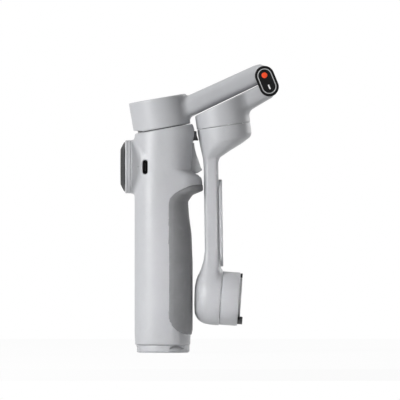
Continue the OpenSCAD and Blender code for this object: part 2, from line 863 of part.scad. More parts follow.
module inlay(h) {
    translate([0, 0, cap_y + cap_t - cap_inlay]) linear_extrude(h) children();
}

module ring_outline() {
    difference() {
        polygon(stadium(cap_ring_r, cap_ring_half));
        polygon(stadium(cap_ring_r - cap_ring_w, cap_ring_half));
    }
}

module bar_outline() {
    translate([0, -cap_bar_down]) polygon(stadium(cap_bar_w / 2, (cap_bar_l - cap_bar_w) / 2));
}

module dot_outline() {
    translate([0, cap_dot_up]) circle(r = cap_dot_r);
}

module cap_front() {
    color(black) cap_frame() difference() {
        cap_plate();
        inlay(over) ring_outline();
        inlay(over) bar_outline();
        inlay(over) dot_outline();
    }
}

module cap_rear() {
    color(black) mirror([0, 1, 0]) cap_frame() cap_plate();
}

module cap_ring() {
    color(steel) cap_frame() inlay(cap_inlay) ring_outline();
}

module cap_dot() {
    color([0.94, 0.3, 0.15]) cap_frame() inlay(cap_inlay) dot_outline();
}

module cap_bar() {
    color("white") cap_frame() inlay(cap_inlay) bar_outline();
}

module seam_cut() {
    arm_frame() translate([0, 0, -barrel_r - seam_gap]) rotate([0, -seam_slope, 0])
        translate([-4 * pan_r, -2 * pan_r, 0]) cube([8 * pan_r, 4 * pan_r, 4 * pan_r]);
}

module fold_tube() {
    along_arm() loft([for (s = fold_tube_shares)
        ring(lower_pin_z - fold_under * s[1], lower_pin_z + fold_under * s[2], arm_half * s[3],
            tube_run * s[0], s[4])]);
}

module fold_arm() {
    color(body_grey) difference() {
        union() {
            difference() {
                union() {
                    tilt_frame() cylinder(r = tilt_r, h = 2 * tilt_r);
                    fold_tube();
                }
                seam_cut();
            }
            lower_pin() along_y(-arm_half) cylinder(r = barrel_r, h = arm_depth);
        }
        tilt_frame() translate([0, 0, -over]) cylinder(r = motor_cup_r, h = tilt_cup_h + over);
        lower_pin() along_y(-arm_depth) cylinder(r = pin_r + run_fit, h = 2 * arm_depth);
        arm_frame() along_y(-arm_depth) cylinder(r = keep_out_r, h = 2 * arm_depth);
        below_tilt_split();
    }
}

module below_tilt_split() {
    tilt_frame() translate([-2 * pan_r, -2 * pan_r, -2 * pan_r]) cube([4 * pan_r, 4 * pan_r, 2 * pan_r]);
}

module tilt_shaft() {
    color(steel) tilt_frame() translate([0, 0, -split - tilt_rim_h])
        cylinder(r = shaft_r, h = split + tilt_rim_h + tilt_cup_h - 0.4);
}

module tilt_magnet_ring() {
    color(steel) tilt_frame() translate([0, 0, -split])
        tube(magnet_out_r, magnet_in_r, tilt_cup_h - 0.6);
}

// Distance from the tilt axis, and place along it, of a point at (x, z)
function tilt_out(x, z) = -(x - tilt_x) * cos(tilt_lean) - (z - tilt_z) * sin(tilt_lean);
function tilt_along(x, z) = (z - tilt_z) * cos(tilt_lean) - (x - tilt_x) * sin(tilt_lean);

// Everything on the tilt arm stays inside this turned outline, so it clears the handle
module tilt_envelope() {
    back_x = handle_rear + 1.5 * gap;
    back_top = roll_z + roll_r * 1.1;
    tilt_frame() rotate_extrude() polygon([
        [0, -split], [tilt_r, -split], [tilt_out(long_x, long_top - 3), tilt_along(long_x, long_top - 3)],
        [tilt_out(long_x, long_low), tilt_along(long_x, long_low)],
        [tilt_out(back_x, back_top), tilt_along(back_x, back_top)],
        [tilt_out(back_x, -roll_r), tilt_along(back_x, -roll_r)], [0, tilt_along(back_x, -roll_r)]]);
}

module long_frame() {
    translate([long_x, 0, long_top]) rotate([0, -long_lean, 0]) translate([-long_x, 0, -long_top]) children();
}

module long_section(z, inset, h) {
    long_frame() translate([0, 0, z]) linear_extrude(h)
        polygon(rounded(long_x + inset, long_x + long_t - inset, long_half - inset, long_round));
}

module roll_dome() {
    roll_frame() rotate([180, 0, 0]) rotate_extrude() polygon(concat(
        [[0, 0]], [for (s = dome_shares) [roll_r * s[0], dome_h * s[1]]]));
}

module tilt_arm() {
    color(body_grey) difference() {
        intersection() {
            union() {
                hull() {
                    tilt_frame() translate([0, 0, -tilt_rim_h - split])
                        cylinder(r = tilt_r + over, h = tilt_rim_h + over, $fn = 2 * hull_n);
                    tilt_frame() translate([0, 0, -tilt_rim_h - tilt_rim_round])
                        cylinder(r = tilt_r - tilt_rim_round / 2, h = over, $fn = 2 * hull_n);
                    long_section(long_top, 0, over);
                }
                long_section(long_low - over, seam_step, long_top - long_low + 2 * over);
                hull() {
                    roll_dome($fn = hull_n);
                    long_section(long_low, 0, over);
                }
            }
            tilt_envelope();
        }
        tilt_frame() translate([0, 0, -split - tilt_rim_h]) cylinder(r = shaft_r, h = 2 * tilt_rim_h);
        roll_frame() translate([0, 0, -roll_cup_h]) cylinder(r = motor_cup_r, h = 2 * roll_cup_h);
        long_frame() translate([long_x + long_t / 2, 0, long_low - cable_past])
            cylinder(r = cable_r, h = long_top - long_low + cable_past * 1.25);
        strip_holes();
        strip_frame() linear_extrude(2 * strip_t) strip_outline(0);
    }
}

// Children's x runs down the arm from height zero, and z points out of its outer face
module strip_frame() {
    long_frame() translate([long_x + long_t, 0, 0]) rotate([0, 90, 0]) rotate(180) children();
}

module strip_holes() {
    for (z = [strip_low + screw_inset, strip_high - screw_inset])
        long_frame() translate([long_x + long_t - screw_l, 0, z]) rotate([0, 90, 0])
            cylinder(r = screw_r, h = screw_l + over);
}

module arm_cover_strip() {
    color(body_grey) difference() {
        strip_frame() {
            linear_extrude(strip_t / 2) strip_outline(0);
            translate([0, 0, strip_t / 2]) linear_extrude(strip_t / 2) strip_outline(0.6);
        }
        strip_holes();
        for (z = [strip_low + screw_inset, strip_high - screw_inset])
            long_frame() translate([long_x + long_t, 0, z]) rotate([0, 90, 0]) {
                cylinder(r = screw_r, h = 2 * strip_t);
                translate([0, 0, strip_t - screw_head]) cylinder(r = 2 * screw_r, h = over);
            }
    }
}

module strip_outline(inset) {
    polygon(rounded(strip_low + inset, strip_high - inset, strip_half - inset, strip_half - inset - 0.4));
}

module strip_screws() {
    color(steel) for (z = [strip_low + screw_inset, strip_high - screw_inset])
        long_frame() translate([long_x + long_t - screw_l, 0, z]) rotate([0, 90, 0]) {
            cylinder(r = screw_r, h = screw_l + strip_t - screw_head);
            translate([0, 0, screw_l + strip_t - screw_head])
                cylinder(r = 2 * screw_r, h = screw_head - gap / 3);
        }
}

module roll_shaft() {
    color(steel) roll_frame() translate([0, 0, -roll_cup_h + 0.4])
        cylinder(r = shaft_r, h = roll_cup_h + disc_h / 2);
}

module roll_magnet_ring() {
    color(steel) roll_frame() translate([0, 0, -roll_cup_h + 1.2])
        tube(magnet_out_r, magnet_in_r, roll_cup_h - 1.2 + split);
}

module mount_disc() {
    color(body_grey) roll_frame() difference() {
        rotate_extrude() polygon([[0, split], [roll_r, split], [roll_r, disc_h - rim_drop - disc_chamfer],
            [roll_r - disc_chamfer, disc_h - rim_drop], [plate_r, disc_h - rim_drop],
            [plate_r, disc_h - plate_t], [0, disc_h - plate_t]]);
        cylinder(r = shaft_r, h = disc_h / 2 + 0.4);
    }
}

module mount_plate() {
    color(steel) roll_frame() difference() {
        translate([0, 0, disc_h - plate_t]) cylinder(r = plate_r, h = plate_t);
        each_magnet() translate([0, 0, disc_h - magnet_t]) cylinder(r = magnet_r, h = magnet_t + over);
    }
}

module each_magnet() {
    for (i = [0 : magnets - 1]) rotate(360 * (i + 0.5) / magnets) translate([magnet_ring_r, 0, 0]) children();
}

module mount_magnets() {
    color("silver") roll_frame() each_magnet() translate([0, 0, disc_h - magnet_t])
        cylinder(r = magnet_r, h = magnet_t);
}

module mount_lugs() {
    color(black) roll_frame() {
        rotate(180 - lug_angle / 4) lug(lug_angle / 2, rim_drop);
        for (side = [-1, 1]) rotate(side * lug_angle * 0.6 - lug_angle / 4) lug(lug_angle / 2, rim_drop + lug_h);
    }
}

module lug(angle, h) {
    translate([0, 0, disc_h - rim_drop]) rotate_extrude(angle = angle)
        polygon([[lug_in_r, 0], [roll_r - disc_chamfer, 0], [roll_r - disc_chamfer, h], [lug_in_r, h]]);
}

handle_shell();
grip_pad();
rear_bumper();
dial_bezel();
control_dial();
dial_button();
dial_board();
usb_port();
main_board();
power_button();
trigger();
trigger_pin();
trigger_spring();
bulkhead();
battery_tube();
battery_cell();
thread_insert();
tripod_hub();
tripod_legs();
tripod_pins();
rod_sleeve();
rod_section(0);  // rod_section_1
rod_section(1);  // rod_section_2
rod_section(2);  // rod_section_3
rod_section(3);  // rod_section_4
rod_section(4);  // rod_section_5
motor_neck();
pan_base_plate();
pan_motor() motor_stator(pan_stator_r, pan_stator_h);  // pan_stator
pan_motor() motor_coils(pan_stator_r, pan_stator_h);  // pan_coils
pan_motor() motor_bearings(pan_stator_h);  // pan_bearings
pan_shaft();
pan_magnet_ring();
pan_arm();
link_plates();
hinge_pins();
cap_front();
cap_rear();
cap_ring();
cap_dot();
cap_bar();
fold_arm();
tilt_motor() motor_stator(stator_r, tilt_stator_h);  // tilt_stator
tilt_motor() motor_coils(stator_r, tilt_stator_h);  // tilt_coils
tilt_motor() motor_bearings(tilt_stator_h);  // tilt_bearings
tilt_shaft();
tilt_magnet_ring();
tilt_arm();
arm_cover_strip();
strip_screws();
roll_motor() motor_stator(stator_r, roll_stator_h);  // roll_stator
roll_motor() motor_coils(stator_r, roll_stator_h);  // roll_coils
roll_motor() motor_bearings(roll_stator_h);  // roll_bearings
roll_shaft();
roll_magnet_ring();
mount_disc();
mount_plate();
mount_magnets();
mount_lugs();
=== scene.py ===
"""A folding phone gimbal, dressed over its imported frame.

Lengths in the field toolkit and in every class are millimetres in the frame's
own axes, and become metres when a mesh is made. Each main form is a distance
field, turned into an even mesh of quads, so its edges are rounded and its
joins are filleted the way moulded parts are.
"""

from __future__ import annotations

import json
import logging
import math
from dataclasses import dataclass
from enum import Enum
from typing import Any, Callable, Iterable, Mapping, Sequence

import bmesh
import bpy
import numpy as np
from mathutils import Matrix, Vector


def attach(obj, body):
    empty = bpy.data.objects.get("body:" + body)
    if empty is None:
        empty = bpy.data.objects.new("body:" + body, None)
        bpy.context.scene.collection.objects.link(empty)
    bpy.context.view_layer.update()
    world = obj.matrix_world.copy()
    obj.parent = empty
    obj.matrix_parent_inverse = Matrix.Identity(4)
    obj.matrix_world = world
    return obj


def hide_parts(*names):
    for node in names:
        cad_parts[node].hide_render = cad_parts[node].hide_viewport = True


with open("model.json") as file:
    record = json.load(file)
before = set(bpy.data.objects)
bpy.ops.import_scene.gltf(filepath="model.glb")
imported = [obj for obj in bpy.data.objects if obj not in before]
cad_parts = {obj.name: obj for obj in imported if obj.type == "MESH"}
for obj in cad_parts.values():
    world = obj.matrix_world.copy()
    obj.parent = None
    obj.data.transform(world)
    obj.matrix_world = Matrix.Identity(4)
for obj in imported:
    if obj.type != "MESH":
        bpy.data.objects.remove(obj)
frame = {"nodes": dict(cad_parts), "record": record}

LOG = logging.getLogger("gimbal")
MM = 0.001
TINY = 1e-6
Points = np.ndarray
Field = Callable[[Points], np.ndarray]
Outline = Sequence[tuple[float, float]]
Rows = Sequence[tuple[float, ...]]
Spot = tuple[float, float]
Piece = bpy.types.Object

# A loft's sections, and how many of them each one is averaged over.
SECTION_STEPS = 800
SECTION_SMOOTHING = 33
# How a form's skin is found: lengths in millimetres, moves and bulges as shares of a step.
POINTS_AT_ONCE = 400000
RELAXING_ROUNDS = 3
PROBE = 0.02
LEAST_SLOPE = 0.05
LONGEST_MOVE = 0.7
RIM_BULGE = 0.16
# A length that reaches past any wall, and the gap round a piece in its seat.
PAST = 40.0
GAP = 0.03


@dataclass(frozen=True)
class Axes:
    """A place and three directions, which a form is described in."""

    origin: tuple[float, float, float]
    x: tuple[float, float, float] = (1.0, 0.0, 0.0)
    y: tuple[float, float, float] = (0.0, 1.0, 0.0)
    z: tuple[float, float, float] = (0.0, 0.0, 1.0)

    @classmethod
    def leaning(cls, x: float, z: float, angle: float) -> Axes:
        """Axes at (x, 0, z), turned about Y so that their z leans towards +X by angle degrees."""
        s, c = math.sin(math.radians(angle)), math.cos(math.radians(angle))
        return cls((x, 0.0, z), (c, 0.0, -s), (0.0, 1.0, 0.0), (s, 0.0, c))

    def at(self, x: float, y: float, z: float) -> Axes:
        """The same directions from another place of the frame."""
        return Axes((x, y, z), self.x, self.y, self.z)

    def moved(self, x: float, y: float, z: float) -> Axes:
        """The same directions from another place, given in these axes."""
        return self.at(*(float(v) for v in self.world(np.array([[x, y, z]]))[0]))

    def local(self, points: Points) -> Points:
        """Points of the frame, seen from these axes."""
        return (points - np.array(self.origin)) @ np.array([self.x, self.y, self.z]).T

    def world(self, points: Points) -> Points:
        """Points of these axes, in the frame."""
        return points @ np.array([self.x, self.y, self.z]) + np.array(self.origin)


UPRIGHT = Axes((0.0, 0.0, 0.0))
SIDE = Axes((0.0, 0.0, 0.0), (1.0, 0.0, 0.0), (0.0, 0.0, 1.0), (0.0, -1.0, 0.0))


def soft_min(a: np.ndarray, b: np.ndarray, blend: float) -> np.ndarray:
    """The lesser of two fields, with a fillet of about the blend's size where they meet."""
    if blend <= 0:
        return np.minimum(a, b)
    h = np.maximum(blend - np.abs(a - b), 0.0) / blend
    return np.minimum(a, b) - h * h * blend / 4


def polygon_distance(u: np.ndarray, v: np.ndarray, outline: Outline) -> np.ndarray:
    """Signed distance from points (u, v) to a closed outline, negative inside.

    Args:
        u: first coordinate of each point.
        v: second coordinate of each point.
        outline: corners in order.

    Returns:
        One distance for each point.
    """
    corners = np.array(outline, float)
    best = np.full(u.shape, np.inf)
    inside = np.zeros(u.shape, bool)
    for a, b in zip(corners, np.roll(corners, -1, axis=0)):
        edge = b - a
        wu, wv = u - a[0], v - a[1]
        share = np.clip((wu * edge[0] + wv * edge[1]) / max(edge @ edge, 1e-12), 0, 1)
        best = np.minimum(best, (wu - edge[0] * share) ** 2 + (wv - edge[1] * share) ** 2)
        crosses = (a[1] > v) != (b[1] > v)
        if crosses.any() and edge[1] != 0:
            inside ^= crosses & (wu < edge[0] * wv / edge[1])
    return np.where(inside, -1.0, 1.0) * np.sqrt(best)


def shut(flat: np.ndarray, height: np.ndarray, rounding: float) -> np.ndarray:
    """Joins a flat distance and a height distance into one with a rounded edge."""
    a, b = flat + rounding, height + rounding
    outside = np.hypot(np.maximum(a, 0), np.maximum(b, 0))
    return outside + np.minimum(np.maximum(a, b), 0) - rounding


@dataclass(frozen=True)
class Solid:
    """A form given by its distance field in millimetres."""

    distance: Field

    def joined(self, other: Solid, blend: float = 0.0) -> Solid:
        """Both forms together, with a fillet of the blend's size."""
        return Solid(lambda p: soft_min(self.distance(p), other.distance(p), blend))

    def cut(self, other: Solid, blend: float = 0.0) -> Solid:
        """This form less the other, with its new edges rounded by the blend."""
        return Solid(lambda p: -soft_min(-self.distance(p), other.distance(p), blend))

    def opened(self, *cuts: tuple[Solid, float]) -> Solid:
        """This form less several others, each with the blend of its new edges."""
        form = self
        for other, blend in cuts:
            form = form.cut(other, blend)
        return form

    def kept(self, other: Solid, blend: float = 0.0) -> Solid:
        """What both forms share, with its new edges rounded by the blend."""
        return Solid(lambda p: -soft_min(-self.distance(p), -other.distance(p), blend))

    def grown(self, by: float) -> Solid:
        """The form, thicker by the given length all round."""
        return Solid(lambda p: self.distance(p) - by)


def revolved(axes: Axes, outline: Outline, rounding: float = 0.0) -> Solid:
    """A turned form: its outline's corners are (radius, height) on the axes' z."""

    def distance(p: Points) -> np.ndarray:
        q = axes.local(p)
        return polygon_distance(np.hypot(q[:, 0], q[:, 1]), q[:, 2], outline) - rounding

    return Solid(distance)


def raised(axes: Axes, flat: Callable[[np.ndarray, np.ndarray], np.ndarray], low: float, high: float,
           rounding: float) -> Solid:
    """A flat field on the axes' x and y, raised from low to high along z, with rounded edges."""

    def distance(p: Points) -> np.ndarray:
        q = axes.local(p)
        tall = np.abs(q[:, 2] - (low + high) / 2) - (high - low) / 2
        return shut(flat(q[:, 0], q[:, 1]), tall, rounding)

    return Solid(distance)


def drum(axes: Axes, radius: float, low: float, high: float, rounding: float = 0.0) -> Solid:
    """A cylinder on the axes' z with rounded rims."""
    return raised(axes, lambda u, v: np.hypot(u, v) - radius, low, high, rounding)


def bore(axes: Axes, radius: float) -> Solid:
    """A round hole right through, on the axes' z."""
    return drum(axes, radius, -PAST, PAST)


def prism(axes: Axes, outline: Outline, low: float, high: float, rounding: float = 0.0) -> Solid:
    """An outline on the axes' x and y, raised from low to high along z, with rounded edges."""
    return raised(axes, lambda u, v: polygon_distance(u, v, outline), low, high, rounding)


def slot_shape(axes: Axes, radius: float, half: float, low: float, high: float,
               rounding: float = 0.0) -> Solid:
    """A slot form along the axes' y, its round ends half apart from the middle."""
    return raised(axes, lambda u, v: np.hypot(u, np.maximum(np.abs(v) - half, 0)) - radius,
                  low, high, rounding)


def block(axes: Axes, low: tuple[float, float, float], high: tuple[float, float, float],
          rounding: float = 0.0) -> Solid:
    """A box between two corners, with rounded edges."""
    middle = (np.array(low) + np.array(high)) / 2
    half = (np.array(high) - np.array(low)) / 2 - rounding

    def distance(p: Points) -> np.ndarray:
        q = np.abs(axes.local(p) - middle) - half
        return np.linalg.norm(np.maximum(q, 0), axis=1) + np.minimum(q.max(axis=1), 0) - rounding

    return Solid(distance)


def below(axes: Axes, height: float = 0.0) -> Solid:
    """Everything under a height on the axes' z."""
    return Solid(lambda p: axes.local(p)[:, 2] - height)


def above(axes: Axes, height: float = 0.0) -> Solid:
    """Everything over a height on the axes' z."""
    return Solid(lambda p: height - axes.local(p)[:, 2])


@dataclass(frozen=True)
class Level:
    """One oval section of a loft: its place along it, its two ends in x and its half depth."""

    z: float
    low: float
    high: float
    half: float
    power: float


def lofted(axes: Axes, levels: Sequence[Level]) -> Solid:
    """A form whose oval section changes along the axes' z.

    Args:
        axes: z runs along the loft, x and y across it.
        levels: sections in rising order, which a smooth curve joins.

    Returns:
        The form, open-ended; something else shuts its ends.
    """
    zs = np.array([one.z for one in levels])
    table = np.array([[one.low, one.high, one.half, one.power] for one in levels])

    fine = np.linspace(zs[0], zs[-1], SECTION_STEPS)
    width = SECTION_SMOOTHING
    kernel = np.hanning(width + 2)[1:-1]

    def section(z: np.ndarray) -> np.ndarray:
        cols = []
        for column in table.T:
            line = np.interp(fine, zs, column)
            pad = np.concatenate([np.full(width, line[0]), line, np.full(width, line[-1])])
            line = np.convolve(pad, kernel / kernel.sum(), "same")[width:-width]
            cols.append(np.interp(z, fine, line))
        return np.array(cols)

    def distance(p: Points) -> np.ndarray:
        q = axes.local(p)
        low, high, half, power = section(q[:, 2])
        a, b = (high - low) / 2, half
        u = np.abs(q[:, 0] - (low + high) / 2) / a
        v = np.abs(q[:, 1]) / b
        n = 2 / power
        g = (u**n + v**n + 1e-9) ** (1 / n)
        radius = np.hypot(u * a, v * b)
        return radius * (1 - 1 / np.maximum(g, 1e-3))

    return Solid(distance)


def surface(solid: Solid, low: Sequence[float], high: Sequence[float],
            step: float) -> tuple[np.ndarray, np.ndarray]:
    """The skin of a solid as an even net of quads.

    Args:
        solid: the form.
        low: lowest corner of the space searched.
        high: highest corner of the space searched.
        step: length of a quad's side.

    Returns:
        Vertices in millimetres and quads, their faces pointing outwards.
    """
    counts = [int(math.ceil((h - l) / step)) + 1 for l, h in zip(low, high)]
    lines = [l + step * np.arange(n) for l, n in zip(low, counts)]
    grid = np.stack(np.meshgrid(*lines, indexing="ij"), axis=-1)
    flat = grid.reshape(-1, 3)
    values = np.concatenate([solid.distance(flat[i:i + POINTS_AT_ONCE])
                             for i in range(0, len(flat), POINTS_AT_ONCE)])
    values = values.reshape(counts)
    inside = values < 0
    cells = [n - 1 for n in counts]
    total, hits = np.zeros((*cells, 3)), np.zeros(cells)
    for axis in range(3):
        others = [k for k in range(3) if k != axis]
        for shift in ((0, 0), (0, 1), (1, 0), (1, 1)):
            first = [slice(0, n - 1) for n in counts]
            for k, s in zip(others, shift):
                first[k] = slice(s, s + cells[k])
            last = list(first)
            last[axis] = slice(1, counts[axis])
            a, b = values[tuple(first)], values[tuple(last)]
            crosses = (a < 0) != (b < 0)
            share = np.where(crosses, a / np.where(crosses, a - b, 1), 0)
            place = np.zeros((*cells, 3))
            place[..., axis] = share
            for k, s in zip(others, shift):
                place[..., k] = s
            total += place * crosses[..., None]
            hits += crosses
    used = hits > 0
    index = np.full(cells, -1)
    index[used] = np.arange(int(used.sum()))
    corner = np.argwhere(used)
    verts = np.array(low) + step * (corner + total[used] / hits[used][:, None])
    quads = []
    for axis in range(3):
        b, c = [(axis + 1) % 3, (axis + 2) % 3]
        first = [slice(None)] * 3
        last = [slice(None)] * 3
        first[axis], last[axis] = slice(0, counts[axis] - 1), slice(1, counts[axis])
        enters, leaves = inside[tuple(first)], inside[tuple(last)]
        for sign, mask in ((1, enters & ~leaves), (-1, ~enters & leaves)):
            at = np.argwhere(mask)
            at = at[(at[:, b] > 0) & (at[:, c] > 0) & (at[:, b] < cells[b]) & (at[:, c] < cells[c])]
            ring = []
            for db, dc in ((1, 1), (0, 1), (0, 0), (1, 0)):
                cell = at.copy()
                cell[:, b] -= db
                cell[:, c] -= dc
                ring.append(index[cell[:, 0], cell[:, 1], cell[:, 2]])
            ring = np.stack(ring, axis=1)
            quads.append(ring if sign > 0 else ring[:, ::-1])
    faces = np.concatenate(quads)
    faces = faces[(faces >= 0).all(axis=1)]
    for _ in range(RELAXING_ROUNDS):
        verts = relaxed(settled(solid, verts, step), faces)
    return settled(solid, settled(solid, verts, step), step), faces


def slopes(solid: Solid, verts: np.ndarray) -> np.ndarray:
    """The field's slope at each vertex."""
    return np.stack([(solid.distance(verts + move) - solid.distance(verts - move)) / (2 * PROBE)
                     for move in PROBE * np.eye(3)], axis=1)


def settled(solid: Solid, verts: np.ndarray, step: float) -> np.ndarray:
    """Vertices moved onto the skin of the solid, by a step's length at most."""
    slope = slopes(solid, verts)
    move = -solid.distance(verts)[:, None] * slope / np.maximum((slope**2).sum(1), LEAST_SLOPE)[:, None]
    far = np.linalg.norm(move, axis=1, keepdims=True)
    return verts + move * np.minimum(1, step * LONGEST_MOVE / np.maximum(far, TINY * MM))


def relaxed(verts: np.ndarray, faces: np.ndarray) -> np.ndarray:
    """Vertices moved half way to the middle of their neighbours."""
    total, count = np.zeros_like(verts), np.zeros(len(verts))
    for a, b in ((0, 1), (1, 2), (2, 3), (3, 0)):
        np.add.at(total, faces[:, a], verts[faces[:, b]])
        np.add.at(count, faces[:, a], 1)
        np.add.at(total, faces[:, b], verts[faces[:, a]])
        np.add.at(count, faces[:, b], 1)
    return verts * 0.5 + 0.5 * total / np.maximum(count, 1)[:, None]


def linked(name: str, data: bpy.types.ID | None) -> Piece:
    """A new object of the scene that holds some data."""
    thing = bpy.data.objects.new(name, data)
    bpy.context.scene.collection.objects.link(thing)
    return thing


class Edge(Enum):
    """How the faces of a piece meet in the light."""

    SMOOTH = 180.0
    CREASED = 32.0


def piece_from(name: str, verts: Iterable[Sequence[float]], faces: Iterable[Sequence[int]],
               edge: Edge = Edge.SMOOTH) -> Piece:
    """An object whose mesh is given in millimetres of the frame.

    Args:
        name: the piece's name.
        verts: corners in millimetres.
        faces: corner numbers of each face.
        edge: how its faces are shaded.

    Returns:
        The new object, at the origin, unturned.
    """
    mesh = bpy.data.meshes.new(name)
    mesh.from_pydata((np.array(verts, float) * MM).tolist(), [], [list(map(int, f)) for f in faces])
    mesh.update()
    piece = linked(name, mesh)
    shaded(piece, edge)
    return piece


def shaded(piece: Piece, edge: Edge) -> None:
    """Smooths a piece's faces, up to the edge's angle."""
    piece.data.shade_smooth()
    if edge is Edge.CREASED:
        piece.data.set_sharp_from_angle(angle=math.radians(edge.value))


def moulded(name: str, solid: Solid, low: Sequence[float], high: Sequence[float],
            step: float = 0.5) -> Piece:
    """A piece whose skin is that of a solid, with its edges' sharpness kept as an attribute."""
    verts, faces = surface(solid, low, high, step)
    piece = piece_from(name, verts, faces)
    bulge = verts - relaxed(relaxed(verts, faces), faces)
    slope = slopes(solid, verts)
    slope /= np.maximum(np.linalg.norm(slope, axis=1, keepdims=True), TINY)
    rim = np.clip((bulge * slope).sum(axis=1) / (RIM_BULGE * step), 0, 1)
    layer = piece.data.attributes.new("rim", "FLOAT", "POINT")
    layer.data.foreach_set("value", rim.astype(np.float32))
    return piece


def turned(name: str, axes: Axes, outline: Outline, parts: int = 96) -> Piece:
    """A turned piece: its outline runs (radius, height) on the axes' z.

    Args:
        name: the piece's name.
        axes: z is the axis it turns on.
        outline: it closes on itself, or on the axis at both ends.
        parts: faces in one turn.

    Returns:
        The new piece.
    """
    mesh = bmesh.new()
    rings: list[list[bmesh.types.BMVert]] = []
    for radius, height in outline:
        turns = [0.0] if radius <= TINY else [2 * math.pi * k / parts for k in range(parts)]
        places = axes.world(np.array([[radius * math.cos(a), radius * math.sin(a), height] for a in turns]))
        rings.append([mesh.verts.new(place * MM) for place in places])
    closed = outline[0][0] > TINY and outline[-1][0] > TINY
    pairs = list(zip(rings, rings[1:])) + ([(rings[-1], rings[0])] if closed else [])
    for one, two in pairs:
        for k in range(parts):
            ring = [one[k % len(one)], one[(k + 1) % len(one)], two[(k + 1) % len(two)], two[k % len(two)]]
            ring = list(dict.fromkeys(ring))
            if len(ring) > 2:
                mesh.faces.new(ring)
    bmesh.ops.recalc_face_normals(mesh, faces=mesh.faces)
    data = bpy.data.meshes.new(name)
    mesh.to_mesh(data)
    mesh.free()
    piece = linked(name, data)
    shaded(piece, Edge.CREASED)
    return piece


def eased(node: str, width: float, segments: int = 2) -> Piece:
    """A copy of a solid of the frame whose sharp edges are rounded off by a width in millimetres."""
    data = frame["nodes"][node].data.copy()
    data.name = f"{node}_eased"
    work = bmesh.new()
    work.from_mesh(data)
    bmesh.ops.remove_doubles(work, verts=work.verts, dist=0.004 * MM)
    bmesh.ops.dissolve_limit(work, angle_limit=math.radians(0.5), verts=work.verts, edges=work.edges)
    work.to_mesh(data)
    work.free()
    data.materials.clear()
    data.attributes.new("rim", "FLOAT", "POINT")
    piece = linked(data.name, data)
    bevel = piece.modifiers.new("rounding", "BEVEL")
    bevel.width, bevel.segments = width * MM, segments
    bevel.limit_method = "ANGLE"
    bevel.angle_limit = math.radians(38)
    bevel.harden_normals = False
    return made_plain(piece)


def made_plain(piece: Piece) -> Piece:
    """Turns a piece's modifiers into its own mesh."""
    evaluated = piece.evaluated_get(bpy.context.evaluated_depsgraph_get())
    mesh = bpy.data.meshes.new_from_object(evaluated)
    piece.modifiers.clear()
    old = piece.data
    piece.data = mesh
    bpy.data.meshes.remove(old)
    mesh.name = piece.name
    shaded(piece, Edge.CREASED)
    return piece


@dataclass
class Socket:
    """One output of a node, on which sums and products add their Math nodes."""

    tree: bpy.types.NodeTree
    out: bpy.types.NodeSocket

    def _math(self, operation: str, a: Any, b: Any = None) -> Socket:
        node = self.tree.nodes.new("ShaderNodeMath")
        node.operation = operation
        for entry, value in zip(node.inputs, (a, b)):
            if isinstance(value, Socket):
                self.tree.links.new(value.out, entry)
            elif value is not None:
                entry.default_value = value
        return Socket(self.tree, node.outputs[0])

    def __add__(self, other: Any) -> Socket:
        """This value plus another."""
        return self._math("ADD", self, other)

    __radd__ = __add__

    def __sub__(self, other: Any) -> Socket:
        """This value less another."""
        return self._math("SUBTRACT", self, other)

    def __rsub__(self, other: Any) -> Socket:
        """Another value less this one."""
        return self._math("SUBTRACT", other, self)

    def __mul__(self, other: Any) -> Socket:
        """This value times another."""
        return self._math("MULTIPLY", self, other)

    __rmul__ = __mul__

    def wave(self) -> Socket:
        """The sine of this value."""
        return self._math("SINE", self)

    def step(self, low: float, high: float) -> Socket:
        """A soft step from 0 at low to 1 at high."""
        node = self.tree.nodes.new("ShaderNodeMapRange")
        node.interpolation_type = "SMOOTHSTEP"
        self.tree.links.new(self.out, node.inputs[0])
        node.inputs[1].default_value, node.inputs[2].default_value = low, high
        return Socket(self.tree, node.outputs[0])


class Grain(Enum):
    """What breaks up a finish's surface."""

    SPARK = "fine even texture of a moulding tool"
    RUBBER = "soft matte skin"
    GLOSS = "polished skin"
    BRUSHED = "drawn or turned lines"
    WOUND = "turns of wire"
    BOARD = "lacquered board"


Colour = tuple[float, float, float]


@dataclass(frozen=True)
class Finish:
    """One surface finish: its colours are linear, its lengths millimetres."""

    name: str
    colour: Colour
    worn: Colour
    roughness: float
    grain: Grain
    metallic: float = 0.0
    coat: float = 0.0
    grain_size: float = 0.35
    depth: float = 0.02
    mottle: float = 0.05
    shine: float = 0.5

    def material(self) -> bpy.types.Material:
        """The finish as a node material, made once."""
        known = bpy.data.materials.get(self.name)
        return known if known else FinishBuilder(self).build()


class TreeBuilder:
    """Lays nodes in a tree."""

    def __init__(self, tree: bpy.types.NodeTree) -> None:
        """Takes the tree that the nodes go in."""
        self.tree = tree

    def add(self, kind: str, settings: Mapping[str, Any] | None = None,
            sockets: Mapping[Any, Any] | None = None) -> bpy.types.Node:
        """Adds a node.

        Args:
            kind: the node's type.
            settings: properties, set first.
            sockets: values or links of its inputs.

        Returns:
            The node.
        """
        node = self.tree.nodes.new(kind)
        for key, value in (settings or {}).items():
            setattr(node, key, value)
        for key, value in (sockets or {}).items():
            if isinstance(value, Socket):
                self.tree.links.new(value.out, node.inputs[key])
            else:
                node.inputs[key].default_value = value
        return node

    def out(self, node: bpy.types.Node, key: Any = 0) -> Socket:
        """One output of a node."""
        return Socket(self.tree, node.outputs[key])

    def seen_directly(self) -> Socket:
        """1 for a ray from the camera, a mirror or glass, and 0 for any other."""
        path = self.add("ShaderNodeLightPath")
        camera, mirror, glass = (self.out(path, f"Is {kind} Ray")
                                 for kind in ("Camera", "Glossy", "Transmission"))
        return (camera + mirror + glass).step(0.0, 0.5)


